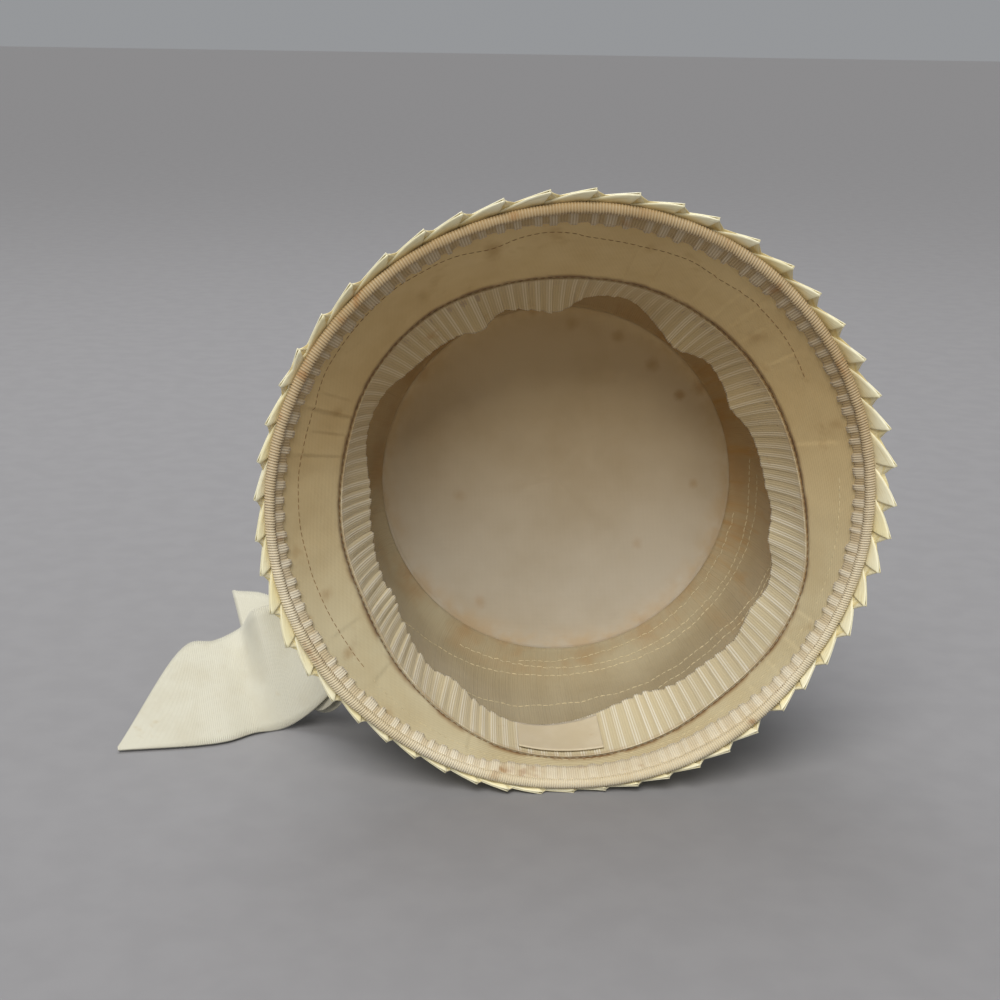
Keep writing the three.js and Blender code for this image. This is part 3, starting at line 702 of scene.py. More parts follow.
# In from the edge before its trim, in millimetres: clock, the binding's seam, the end of its seen leg
BINDING_PLACES = [
    (0, 3.0, 9.6), (10, 3.0, 10.0), (30, 3.1, 9.8), (50, 3.5, 9.3), (70, 4.0, 8.8), (90, 4.3, 9.4),
    (110, 5.2, 11.0), (130, 5.4, 11.0), (142, 5.0, 12.4), (167, 5.0, 13.0), (192, 5.6, 12.6),
    (203, 5.3, 9.4), (225, 4.4, 8.4), (250, 3.5, 7.7), (290, 3.5, 7.7), (305, 4.0, 9.0), (317, 4.2, 11.0),
    (331, 4.4, 10.4), (342, 4.2, 8.6), (352, 3.6, 9.2),
]
seam_in = round_the_clock([row[:2] for row in BINDING_PLACES])
leg_in = round_the_clock([row[::2] for row in BINDING_PLACES])


def binding_seam_walk(clock):
    return in_from_circle(clock, seam_in(clock))


def edge_binding():
    columns = RIM_RIBS * 5
    clock = np.arange(columns)[:, None] * 360 / columns
    drawn, height = (np.array(values)[None, :] for values in zip(*BINDING_SECTION))
    ahead_in, ahead_up = np.roll(drawn, -1) - np.roll(drawn, 1), np.roll(height, -1) - np.roll(height, 1)
    length = np.hypot(ahead_in, ahead_up)
    out_in, out_up = ahead_up / length, -ahead_in / length
    seam = seam_in(clock) - BRIM_TRIM * trim_share(clock)
    leg = leg_in(clock) - BRIM_TRIM * trim_share(clock)
    seen = height < 0.1
    roll_share = (drawn - SECTION_NOSE) / (SECTION_SEAM - SECTION_NOSE)
    leg_share = (drawn - SECTION_SEAM) / (SECTION_END - SECTION_SEAM)
    on_leg = seen & (drawn > SECTION_SEAM)
    off_leg = np.where(seen, SECTION_NOSE + roll_share * (seam - SECTION_NOSE), drawn)
    inward = np.where(on_leg, seam + leg_share * (leg - seam), off_leg)
    phase = np.radians(clock)
    rib = np.cos(phase * RIM_RIBS)
    pucker_phase = PUCKERS * phase + 1.2 * noise_round(clock, 40, 21)
    calm = 1 - 0.7 * np.exp(-(((clock - 170) / 32) ** 2))
    pucker = np.clip(0.4 + 0.5 * noise_round(clock, 70, 33) + 1.5 * np.cos(pucker_phase), 0, 1)
    pucker = pucker * calm + (1 - calm) * 0.7
    outer = (height < -0.8) | (drawn < -0.5) | (height > 1.2)
    on_roll = (height < 0.3) & (drawn < 4.4) & (drawn > SECTION_NOSE - 1) & outer
    swell = outer * rib * np.where(on_roll, 0.26, 0.13)
    swell = swell + on_leg * (height < -0.9) * np.clip(leg_share * 1.4, 0, 1) * pucker * 0.45
    swell = swell + on_roll * 0.14 * noise_round(clock, 60, 4)
    ragged = (drawn > 8.9) & seen
    inward = inward - out_in * swell + ragged * (0.7 * (pucker - 0.5) + 0.35 * noise_round(clock, 90, 17))
    height = height * np.where(on_roll, 0.72 + 0.28 * (seam - SECTION_NOSE) / 6.4, 1.0) - out_up * swell
    grid = off_wall(clock, inward - brim_width(clock), height)
    faces = woven_faces(columns, grid.shape[1], True, True)
    # The first value marks the puckers, which the finish paints as highlights with painted shade between them.
    kept = np.broadcast_arrays(pucker * on_leg, rib + 0 * height, on_roll + 0.5 * on_leg)
    marks = {"binding": np.stack(kept, axis=-1)}
    piece("edge_binding_ribbon", grid.reshape(-1, 3), faces, BINDING_RIBBON, ["edge_binding"], marks)


# Sweatband: gathered in knife pleats
BAND_RIBS = 565


def pleats(clock, least, most, seed):
    """Knife pleats round the clock: each angle's share of its pleat, and its pleat's own numbers."""
    draw = np.random.default_rng(seed)
    ends = [0.0]
    while ends[-1] < 360 - most / 1.6:
        ends.append(ends[-1] + draw.uniform(least, most) / 1.57)
    ends = np.array(ends) * 360 / ends[-1]
    index = np.clip(np.searchsorted(ends, np.mod(clock, 360), side="right") - 1, 0, len(ends) - 2)
    share = (np.mod(clock, 360) - ends[index]) / (ends[index + 1] - ends[index])
    sizes = draw.uniform(0.35, 1.0, len(ends))
    steps = draw.uniform(-1, 1, len(ends))
    return share, sizes[index], steps[index]


def flatter(clock):
    """How full the gathers stand: flat under the label, calm at the front and its two sides."""
    full = 0.45 + 0.55 * np.clip((np.abs(off_clock(clock, 60)) - 55) / 25, 0, 1)
    past_label = np.clip((np.abs(off_clock(clock, LABEL_CLOCK)) - 12) / 5, 0.05, 1)
    past_front_right = np.clip((np.abs(off_clock(clock, 308)) - 15) / 25, 0.35, 1)
    return full * past_label * past_front_right


def sweatband_point(clock, down, lift):
    droop = SWEATBAND_WIDTH * droop_share(clock)
    depth = np.sqrt(SWEATBAND_WIDTH**2 - droop**2)
    r = head_at(clock) - LINING_WALL / 2 - GAP - droop * np.maximum(down, 0) ** 1.3 - lift
    return round_axis(clock, r, depth * down)


def sweatband():
    columns = BAND_RIBS * 4
    clock = np.arange(columns)[:, None] * 360 / columns
    down = np.array([0, 0.03, 0.1, 0.22, 0.36, 0.5, 0.64, 0.78, 0.9, 0.97, 1.0])[None, :]
    share, size, step = pleats(clock, 3.6, 5.8, 12)
    ramp = np.where(share < 0.8, np.sin(share / 0.8 * math.pi / 2), np.cos((share - 0.8) / 0.2 * math.pi / 2))
    opening = np.clip(down * 6, 0, 1) * (0.6 + 0.4 * down)
    calm = flatter(clock)
    sway = 0.9 * noise_round(clock, 60, 14) * np.sin(np.pi * down) * calm
    rib = np.cos(np.radians(clock) * BAND_RIBS + sway)
    lift = 0.45 + calm * size * 1.1 * ramp * opening + 0.1 * rib * np.clip(down * 8, 0, 1)
    lift = lift + 0.3 * calm * noise_round(clock, 50, 9) * np.sin(np.pi * down)
    longer = 1 + calm * 0.012 * step * np.sin(np.pi * share)
    seen = sweatband_point(clock, down * longer, np.maximum(lift, 0.3))
    hidden = sweatband_point(clock, down[:, ::5] * longer, 0.0 * clock)
    # streak marks where the finish paints a highlight on each pleat's raised face and its ribs.
    streak = np.clip((ramp - 0.62) / 0.25, 0, 1) * np.clip(rib * 0.8 + 0.75, 0, 1) * (0.45 + 0.55 * size)
    seen_marks = np.stack(np.broadcast_arrays(down, streak, rib), axis=-1)
    marks = {"band": np.concatenate([seen_marks, np.zeros((columns, hidden.shape[1], 3))], axis=1)}
    hoop_piece("sweatband_ribbon", seen, hidden, SWEATBAND_RIBBON, ["sweatband"], marks)


def label():
    half_turn = math.degrees(LABEL_LENGTH / 2 / float(head_at(LABEL_CLOCK)))
    clock = np.linspace(LABEL_CLOCK - half_turn, LABEL_CLOCK + half_turn, 70)[:, None]
    margin = (1 - LABEL_HEIGHT / SWEATBAND_WIDTH) / 2
    down = np.linspace(margin, 1 - margin, 18)[None, :]
    wave = 0.1 * noise_round(clock * 4, 12, 6) * np.sin(np.pi * (down - margin) / (1 - 2 * margin))
    seen = sweatband_point(clock, down, 1.75 + wave)
    hidden = sweatband_point(clock, down, 1.3 + 0 * wave)
    strip_piece("label_cloth", seen, hidden, LABEL_CLOTH, ["label"])


# Straw braid: two flat straws meet at each tooth's point. A gentle one lies in front, and a steep one
# turns under it. Behind them a plain layer fills the notches
CROSSING = 2.5
STRAW_WIDTH = 8.3
STRAW_THICK = 0.34
GENTLE, SHALLOW, STEEP = 2.0, 4.0, 1.3
STATIONS = np.array([0, 0.012, 0.03, 0.06, 0.1, 0.15, 0.21, 0.28, 0.36, 0.45, 0.55, 0.66, 0.78, 0.9, 1.0])
ACROSS = np.array([0, 0.12, 0.35, 0.6, 0.85, 1.0])
NOTCH_TURNS = np.array([0, 0.08, 0.16, 0.22, 0.3, 0.4, 0.5, 0.62, 0.75, 0.88])
NOTCH_AT = 0.22
NOTCH_DEPTH = 4.6
WEAVE_RISE = 0.28
BACKING_DEPTH = 0.42
BACKING_THICK = 0.2


def leans_on(clock):
    return (np.mod(clock, 360) > 300) | (np.mod(clock, 360) < 135)


def shallow(clock):
    """How flat the teeth lie: 0 at the wearer's left, where they stand out most, and 1 elsewhere."""
    return np.clip((np.abs(off_clock(clock, 88)) - 45) / 35, 0, 1)


class Straws:
    """The straws of one row of braid, gathered into one mesh."""

    def __init__(self):
        self.points, self.faces, self.marks = [], [], {"straw": [], "braid": []}

    def add(self, clock, walk, out, thickness, hoop, **marks):
        """A block of straws from a grid on the wall. The marks give each mark's three values."""
        seen, hidden = (off_wall(clock, walk, out + side * thickness / 2) for side in (-1, 1))
        grid = np.concatenate([seen, hidden[..., ::-1, :]], axis=-2)
        blocks, stations, around = grid.shape[:3]
        shell = woven_faces(stations, around, hoop, True)
        if not hoop:
            shell = np.concatenate([shell, end_caps(stations, around)])
        starts = sum(map(len, self.points)) + np.arange(blocks) * stations * around
        self.faces.append((shell[None] + starts[:, None, None]).reshape(-1, 4))
        self.points.append(grid.reshape(-1, 3))
        for mark, values in marks.items():
            values = np.stack(np.broadcast_arrays(*values), axis=-1)
            values = np.concatenate([values, values[..., ::-1, :]], axis=-2)
            self.marks[mark].append(values.reshape(-1, 3))

    def finish(self, name, node):
        marks = {mark: np.concatenate(values) for mark, values in self.marks.items()}
        piece(name, np.concatenate(self.points), np.concatenate(self.faces), STRAW, [node], marks)


def straw_row(name, node, row_radius, low_at, high_at, under_at, seen_sides, seed, notch_depth=NOTCH_DEPTH):
    """A row of braid. seen_sides holds -1 where it is seen from inside the hat, and 1 from outside."""
    edge = -1 in seen_sides
    teeth = round(math.tau * row_radius / TOOTH_PITCH)
    turn = 360 / teeth
    draw = np.random.default_rng(seed)
    tooth = np.arange(teeth)[:, None, None] * turn
    home = tooth + turn * draw.uniform(-0.07, 0.07, (teeth, 1, 1))
    lean = np.where(leans_on(home), 1, -1)
    f, q = STATIONS[None, :, None], ACROSS[None, None, :]
    straws = Straws()

    for seen_side, ply in [(seen_side, ply) for seen_side in seen_sides for ply in (0, 1)]:
        side = lean if ply else -lean
        height = high_at(home) - low_at(home)
        bend = GENTLE + (SHALLOW - GENTLE) * shallow(home) * edge
        crossing = CROSSING * (f**STEEP if ply else 1 - (1 - f) ** bend)
        slope = STEEP * np.maximum(f, 0.02) ** (STEEP - 1) if ply else bend * (1 - f) ** (bend - 1)
        along_step = CROSSING * slope * TOOTH_PITCH
        run = np.hypot(along_step, height)
        path = np.hypot(crossing * TOOTH_PITCH, f * height)
        middle = home + side * turn * crossing
        local_r = wall(middle, low_at(middle) + f * height)[0]
        scale = np.clip(local_r / row_radius, 0.12, 1.15)
        from_point, to_end = np.clip(path / (4.5 if ply else 7.0), 0.05, 1), np.clip((1 - f) / 0.25, 0.12, 1)
        width = STRAW_WIDTH * scale * from_point * to_end
        clock = middle + np.degrees(-side * height / run * width * q / np.maximum(local_r, 1))
        depth = f * (high_at(clock) - low_at(clock)) + q * width * along_step / run
        walk = low_at(clock) + depth
        at_tip = np.clip(1 - depth / 10, 0, 1) * np.clip(path / 4, 0.1, 1)
        tilt = (-0.95 + 0.9 * q if ply else 0.1 + 1.1 * q) * at_tip * (0.3 if edge and seen_side > 0 else 1.0)
        woven = (-WEAVE_RISE if ply else WEAVE_RISE) * np.cos(math.tau * crossing) * (1 - at_tip)
        belly = 0.5 * q * (1 - q) * scale
        out = under_at(clock, walk) + STRAW_WALL / 2 + seen_side * (tilt + woven + belly + 0.2 * edge)
        own = draw.uniform(0, 10, (teeth, 1, 1))
        # depth and ply feed the finish's painted shade: ochre deeper in, darker on the back ply.
        marks = {"straw": (q * width, path, own), "braid": (depth, float(ply), 0.0)}
        straws.add(clock, walk, out, STRAW_THICK, False, **marks)

    phase = NOTCH_TURNS[None, :, None]
    clock = np.sort((home + lean * turn * phase).reshape(-1))[None, :, None]
    nearest = np.argmin(np.abs(off_clock(clock, home.reshape(1, 1, -1))), axis=-1)
    ahead = (clock[..., 0] - home.reshape(-1)[nearest]) * lean.reshape(-1)[nearest] / turn
    ahead = np.mod(ahead, 1.0)[..., None]
    notch = notch_depth * (1 - 0.5 * shallow(clock) * edge)
    notch = notch * np.minimum(ahead / NOTCH_AT, (1 - ahead) / (1 - NOTCH_AT)) + STRAW_WALL
    share = np.array([0, 0.1, 0.3, 0.6, 1.0])[None, None, :]
    walk = (low_at(clock) + notch) * (1 - share) + high_at(clock) * share
    depth = walk - low_at(clock)
    out = under_at(clock, walk) + STRAW_WALL / 2 - BACKING_DEPTH * (not edge)
    # Its ply of 2 makes the finish paint the backing darker, as shade behind the teeth.
    marks = {"straw": (np.radians(clock) * row_radius, depth, 5.0), "braid": (depth, 2.0, 0.0)}
    straws.add(clock, walk, out, BACKING_THICK, True, **marks)
    straws.finish(name, node)


def row_step(clock):
    return (brim_width(clock) + SIDE_LENGTH) / SIDE_ROWS


def row_low(clock, row):
    return -brim_width(clock) + row * row_step(clock)


def lap_rise(step):
    return (STRAW_WALL + ROW_SLACK) * ((1 + ROW_OVERLAP) * step + TOOTH_REACH) / step


BINDING_OUT = FACING_WALL / 2 + GAP + BINDING_WALL
TIP_STEP = (TIP_RADIUS - BUTTON_RADIUS) / TIP_ROWS


def edge_row():
    """The row at the brim's edge, clear of the binding."""

    def low_at(clock):
        return row_low(clock, 0) - EDGE_REACH * overhang_share(clock)

    def high_at(clock):
        return np.minimum(row_low(clock, 0) + (1 + ROW_OVERLAP) * row_step(clock), -GAP)

    def under_at(clock, walk):
        binding_end = row_low(clock, 0) + BINDING_LEG
        share = np.clip((walk - binding_end) / (high_at(clock) - binding_end), 0, 1)
        return (BINDING_OUT + GAP) * (1 - share) + STRAW_BASE * share

    straw_row("straw_braid_1", "straw_row_1", float(rim_at(90.0)[0]), low_at, high_at, under_at, (-1, 1), 40)


def side_row(row):
    def low_at(clock):
        return row_low(clock, row) - TOOTH_REACH

    def high_at(clock):
        return np.minimum(row_low(clock, row) + (1 + ROW_OVERLAP) * row_step(clock), SIDE_LENGTH)

    def under_at(clock, walk):
        share = (high_at(clock) - walk) / (high_at(clock) - low_at(clock))
        return STRAW_BASE + lap_rise(row_step(clock)) * np.clip(share, 0, 1)

    radius = float(wall(90.0, row_low(90.0, row))[0])
    name, node = f"straw_braid_{row + 1}", f"straw_row_{row + 1}"
    straw_row(name, node, radius, low_at, high_at, under_at, (1,), 40 + row)


def tip_row(row):
    low = SIDE_LENGTH + row * TIP_STEP - TOOTH_REACH
    high = SIDE_LENGTH + (row + (1 + ROW_OVERLAP if row < TIP_ROWS - 1 else 1)) * TIP_STEP

    def under_at(clock, walk):
        return STRAW_BASE + lap_rise(TIP_STEP) * np.clip((high - walk) / (high - low), 0, 1)

    number = SIDE_ROWS + row + 1
    straw_row(
        f"straw_braid_{number}", f"straw_row_{number}", TIP_RADIUS - row * TIP_STEP,
        lambda clock: low + 0 * clock, lambda clock: high + 0 * clock, under_at, (1,), 50 + row,
        NOTCH_DEPTH * (0.4 if row == 0 else 1.0),
    )


def straw_rows():
    edge_row()
    for row in range(1, SIDE_ROWS):
        side_row(row)
    for row in range(TIP_ROWS):
        tip_row(row)


def tip_button():
    """The braid's coiled end: a low dome with a winding step."""
    columns, rings = 144, 40
    turn = np.arange(columns)[:, None] * math.tau / columns
    r = np.linspace(BUTTON_RADIUS - GAP, 0.15, rings)[None, :]
    winding = np.mod(r / 3.4 - turn / math.tau, 1.0)
    low = CROWN_DEPTH + TIP_RISE + STRAW_BASE
    crest = BUTTON_HEIGHT * 0.85
    dome = crest * np.sqrt(np.clip(1 - (r / (BUTTON_RADIUS + 0.5)) ** 4, 0, 1))
    y = low + dome + 0.45 * winding * np.clip(r / 2, 0, 1) + 0.08 * np.cos(turn * 36 + r * 2.0)
    top = round_axis(np.degrees(turn), r, y)
    base = round_axis(np.degrees(turn), r[:, :1], np.full((columns, 1), low))
    grid = np.concatenate([base, top], axis=1)
    rows = grid.shape[1]
    points = np.concatenate([grid.reshape(-1, 3), [[0, low + crest, 0], [0, low, 0]]])
    top_middle, base_middle = len(points) - 2, len(points) - 1
    faces = woven_faces(columns, rows, True, False).tolist()
    for i in range(columns):
        j = (i + 1) % columns
        faces += [[i * rows + rows - 1, j * rows + rows - 1, top_middle], [j * rows, i * rows, base_middle]]
    straw = np.zeros((len(points), 3))
    on_top = straw[: columns * rows].reshape(columns, rows, 3)[:, 1:]
    on_top[..., 0] = (winding - 0.5) * 7
    on_top[..., 1] = np.degrees(turn) * 0.2
    marks = {"straw": straw, "braid": 0 * straw}
    piece("tip_button_straw", points, faces, STRAW, ["tip_button"], marks)


# Outer ribbon
def band_under(walk):
    """How far out the band lies, spreading a little towards the tip."""
    straw = STRAW_BASE + lap_rise(float(row_step(180.0))) + STRAW_WALL + ROW_SLACK
    return straw + BAND_FLARE * ((walk - BAND_SETBACK) / RIBBON_WIDTH) ** 2


def ribbon_band():
    columns = 2640
    clock = np.arange(columns)[:, None] * 360 / columns
    share = np.array([0, 0.01, 0.2, 0.4, 0.6, 0.8, 0.99, 1.0])[None, :]
    rib = np.cos(np.radians(clock) * columns / 4)
    picot = np.where(share < 0.005, -0.22, np.where(share > 0.995, 0.22, 0)) * rib
    walk = BAND_SETBACK + RIBBON_WIDTH * share + picot
    under = band_under(walk)
    out = under + RIBBON_WALL + 0.06 * rib + 0.15 * noise_round(clock, 12, 31) * np.sin(np.pi * share)
    seen = off_wall(clock, walk, out)
    hidden = off_wall(clock, walk[:, [0, 3, 7]], under[:, [0, 3, 7]])
    hoop_piece("ribbon_band_cloth", seen, hidden, OUTER_RIBBON, ["ribbon_band"])


KNOT_CLOCK = 225.0
KNOT_DEPTH = 38.0
KNOT_LENGTH = 26.0
KNOT_WIDTH = 30.0
KNOT_HEIGHT = 9.0
TAIL_REACH = 100.0
LOOP_OPENING = 3.0

# The ribbon's ends, as in the solids: along, a share of TAIL_REACH, back, a share of RIBBON_WIDTH, up,
# a share of the root's height, turn and lean in degrees, and spread, a share of RIBBON_WIDTH
TAIL_STATIONS = [
    (0, -0.25, 1.05, 0, -10, 0.5), (0.06, -0.18, 1.0, 4, 2, 0.62), (0.19, 0.02, 0.36, 14, 36, 0.94),
    (0.36, 0.1, 0, 32, 61, 1), (0.48, 0.0, 0, 13, 38, 1), (0.58, -0.16, 0, 13, 33, 1),
    (0.68, -0.23, 0, 13, 33, 1), (1.0, -0.32, 0, 13, 33, 0.03),
]
LOOP_STATIONS = [
    (0, -0.25, 1.05, 0, -10, 0.5), (0.04, -0.15, 0.62, 6, 10, 0.65), (0.16, 0.14, 0.17, 14, 36, 0.85),
    (0.3, 0.37, 0.31, 18, 40, 0.9), (0.42, 0.44, 0.33, 20, 40, 0.9),
]


def unit(vector):
    return vector / np.linalg.norm(vector, axis=-1, keepdims=True)


def by_knot(turn, rise):
    """A point of the band's outer face, by how far it is from the knot's middle."""
    clock, walk = np.array(KNOT_CLOCK + turn), np.array(KNOT_DEPTH + rise)
    return off_wall(clock, walk, band_under(walk) + RIBBON_WALL)


knot_spread = math.degrees(KNOT_LENGTH / 2 / HEAD_RADIUS)
knot_seat = by_knot(0.0, 0.0)
knot_along = unit(by_knot(knot_spread, 0.0) - by_knot(-knot_spread, 0.0))
knot_slope = by_knot(0.0, KNOT_WIDTH / 2) - by_knot(0.0, -KNOT_WIDTH / 2)
knot_outward = unit(np.cross(knot_along, knot_slope))
knot_across = np.cross(knot_outward, knot_along)


def ribbon_knot():
    """The knot: a flat pad, full in its middle and drawn in at its ends, with soft folds along it."""
    columns, around = 120, 72
    u = np.linspace(-0.5, 0.5, columns)[:, None]
    angle = (np.arange(around) * math.tau / around)[None, :]
    size = 0.55 + 0.45 * np.clip(1 - np.abs(u / 0.5) ** 3, 0, 1) ** 0.5
    across = 0.5 * np.sign(np.cos(angle)) * np.abs(np.cos(angle)) ** 0.7
    up = 0.5 + 0.5 * np.sign(np.sin(angle)) * np.abs(np.sin(angle)) ** 0.6
    folds = 0.03 * np.sin(across * 34 + 2.5 * u) * (up > 0.5)
    rib = 0.006 * np.cos(u * KNOT_LENGTH / RIB_PITCH * math.tau) * (up > 0.4)
    up = np.clip(up * (0.55 + 0.45 * size) + folds + rib, 0, 1.03)
    grid = (
        knot_seat
        + knot_along * (u * KNOT_LENGTH + 0 * angle)[..., None]
        + knot_across * (across * KNOT_WIDTH * size)[..., None]
        + knot_outward * (GAP + up * KNOT_HEIGHT)[..., None]
    )
    faces = woven_faces(columns, around, False, True).tolist()
    faces += [list(range(around)), [(columns - 1) * around + k for k in range(around)]]
    piece("ribbon_knot_cloth", grid.reshape(-1, 3), faces, OUTER_RIBBON, ["ribbon_knot"])


def smooth_path(points, count):
    """A smooth curve through points, at even shares of their number."""
    points = np.asarray(points, float)
    ends = [2 * points[0] - points[1], 2 * points[-1] - points[-2]]
    held = np.concatenate([ends[:1], points, ends[1:]])
    place = np.linspace(0, len(points) - 1, count)
    index = np.minimum(place.astype(int), len(points) - 2)
    t = (place - index)[:, None]
    a, b, c, d = (held[index + k] for k in range(4))
    root_of_span = lambda p, q: np.maximum(np.sum((q - p) ** 2, axis=1) ** 0.25, 1e-4)[:, None]
    first, span, last = root_of_span(a, b), root_of_span(b, c), root_of_span(c, d)
    slope_b = ((b - a) / first - (c - a) / (first + span) + (c - b) / span) * span
    slope_c = ((c - b) / span - (d - b) / (span + last) + (d - c) / last) * span
    bend, twist = 3 * (c - b) - 2 * slope_b - slope_c, 2 * (b - c) + slope_b + slope_c
    return b + slope_b * t + bend * t**2 + twist * t**3


def root_at(out):
    local = knot_seat + knot_along * (KNOT_LENGTH / 2 + RIBBON_WALL + GAP) + knot_outward * out
    return placed(local) / MM


def ribbon_run(stations, root, count):
    """The two edges of a ribbon along its run, in millimetres of the frame."""
    fronts, rears = [], []
    for along, back, up, turn, lean, spread in stations:
        turn, lean = math.radians(turn), math.radians(lean)
        across = unit(np.array([-math.sin(turn), math.cos(turn), math.tan(lean)]))
        height = RIBBON_WALL + up * (root[2] - RIBBON_WALL)
        front = np.array([root[0] - along * TAIL_REACH, root[1] + back * RIBBON_WIDTH, height])
        fronts.append(front)
        rears.append(front + across * spread * RIBBON_WIDTH)
    return smooth_path(fronts, count), smooth_path(rears, count)


def even_run(front, rear, pitch):
    """The run again, cut evenly along the longer of its edges."""
    steps = np.maximum(*(np.linalg.norm(np.diff(edge, axis=0), axis=1) for edge in (front, rear)))
    far = np.concatenate([[0], np.cumsum(steps)])
    even = np.linspace(0, far[-1], int(round(far[-1] / pitch)) + 1)
    cut = lambda edge: np.stack([np.interp(even, far, edge[:, k]) for k in range(3)], axis=1)
    return cut(front), cut(rear), even


def ribbon_faces_of(front, rear, even, rows, half):
    """A ribbon's two faces between its edges, ribbed crosswise, with picot edges."""
    w = np.linspace(0, 1, rows)[None, :, None]
    grid = front[:, None] * (1 - w) + rear[:, None] * w
    along = np.gradient(grid, axis=0)
    across = np.broadcast_to((rear - front)[:, None], grid.shape)
    up = unit(np.cross(across, along))
    rib = np.cos(even / RIB_PITCH * math.tau)[:, None, None]
    edge = (w < 1e-6) * -1.0 + (w > 1 - 1e-6) * 1.0
    grid = grid + unit(across) * edge * 0.24 * rib
    swell = 0.075 * rib
    return grid + up * (half + swell), grid - up * (half + swell)


def cloth_of(front, rear):
    """The length and the area of a ribbon between its edges, in metres."""
    middle = (front + rear) / 2
    steps = np.linalg.norm(np.diff(middle, axis=0), axis=1) * MM
    longest = max(np.sum(np.linalg.norm(np.diff(edge, axis=0), axis=1)) * MM for edge in (front, rear))
    widths = np.linalg.norm(rear - front, axis=1) * MM
    return float(longest), float(np.sum((widths[1:] + widths[:-1]) / 2 * steps))


def outer_ribbon(name, node, front, rear):
    return strip_piece(name, front, rear, OUTER_RIBBON, [node], in_frame=True)


def ribbon_tail():
    front, rear = ribbon_run(TAIL_STATIONS, root_at(2.5 * RIBBON_WALL / 2), 1400)
    front, rear, even = even_run(front, rear, RIB_PITCH / 4)
    tail = outer_ribbon("ribbon_tail_cloth", "ribbon_tail", *ribbon_faces_of(front, rear, even, 16, 0.3))
    length, area = cloth_of(front, rear)


def ribbon_loop():
    """The loop: an upper and a lower layer, joined by a round fold at its end."""
    front, rear = ribbon_run(LOOP_STATIONS, root_at(KNOT_HEIGHT), 700)
    front, rear, even = even_run(front, rear, RIB_PITCH / 4)
    share = np.arange(len(even)) / (len(even) - 1)
    inner_half = (LOOP_OPENING / 2 * np.minimum(1, 0.2 + 2 * share))[:, None, None]
    top, bottom = ribbon_faces_of(front, rear, even, 12, 0.0)
    middle = (top + bottom) / 2
    across = np.broadcast_to((rear - front)[:, None], middle.shape)
    up = unit(np.cross(across, np.gradient(middle, axis=0)))
    end = unit((middle[-1] - middle[-2]).mean(axis=0))
    rib = np.cos(even / RIB_PITCH * math.tau)[:, None, None] * 0.07
    outer_half = inner_half + RIBBON_WALL / 2 + rib
    turns = np.linspace(0, math.pi, 14)[1:-1]

    def skin(half, fold_half):
        fold = [middle[-1] + up[-1] * math.cos(a) * fold_half + end * math.sin(a) * fold_half for a in turns]
        return np.concatenate([middle + up * half, np.stack(fold), (middle - up * half)[::-1]])

    outside = skin(outer_half, LOOP_OPENING / 2 + RIBBON_WALL / 2)
    loop = outer_ribbon("ribbon_loop_cloth", "ribbon_loop", outside, skin(inner_half, LOOP_OPENING / 2))
    length, area = cloth_of(front, rear)


# Stitches
def stitches(name, line, length, skip, radius, finish):
    """Short thread stitches along a line of points and normals, each a closed bead lying on the cloth."""
    points, normals = line
    steps = np.linalg.norm(np.diff(points, axis=0), axis=1)
    far = np.concatenate([[0], np.cumsum(steps)])
    starts = np.arange(0, far[-1] - length, length + skip)
    rings = np.array([0, 0.12, 0.35, 0.65, 0.88, 1.0])
    fat = np.array([0.25, 0.8, 1, 1, 0.8, 0.25])
    sink = np.array([-1.2, -0.4, 0.2, 0.2, -0.4, -1.2])
    around = (np.arange(6) * math.tau / 6)[None, :, None]
    beads, faces = [], []
    shell = woven_faces(6, 6, False, True).tolist()
    shell += [[k, k + a, k + a + 1, k + a + 2] for k in (0, 30) for a in (1, 3)]
    at = lambda values, d: np.stack([np.interp(d, far, values[:, k]) for k in range(3)], axis=1)
    for k, start in enumerate(starts):
        d = start + rings * length
        middle = at(points, d)
        up = unit(at(normals, d))
        ahead = unit(np.gradient(middle, axis=0))
        side = np.cross(ahead, up)
        ring = middle[:, None] + up[:, None] * (sink * radius)[:, None, None]
        spoke = side[:, None] * np.cos(around) + up[:, None] * np.sin(around)
        ring = ring + radius * fat[:, None, None] * spoke
        beads.append(ring.reshape(-1, 3))
        faces += [[36 * k + index for index in face] for face in shell]
    piece(name, np.concatenate(beads), faces, finish)


def wall_line(clocks, walk_at, out_at):
    """A path round the wall and the inward normals along it."""
    walk, out = walk_at(clocks), out_at(clocks)
    line = off_wall(clocks, walk, out)
    inner = off_wall(clocks, walk, out - 1.0)
    return line, unit(inner - line)


# The facing's line of stitches, in from the edge before its trim: clock, millimetres
FACING_SEAM = [
    (0, 19.0), (10, 20.5), (20, 18.8), (27, 20.0), (35, 18.4), (45, 19.0), (50, 20.0), (56, 21.2),
    (67, 19.3), (80, 16.6), (130, 16.6), (140, 15.8), (150, 15.5), (160, 16.2), (170, 17.3), (190, 17.6),
    (197, 14.2), (205, 13.6), (215, 13.6), (222, 14.0), (230, 15.1), (235, 16.0), (245, 16.6), (265, 16.6),
    (275, 15.9), (285, 15.5), (295, 15.9), (300, 14.0), (305, 13.0), (315, 13.0), (322, 12.6), (328, 14.0),
    (335, 15.5), (342, 19.2), (348, 16.2), (352, 15.5), (357, 16.9),
]
facing_seam_in = round_the_clock(FACING_SEAM)

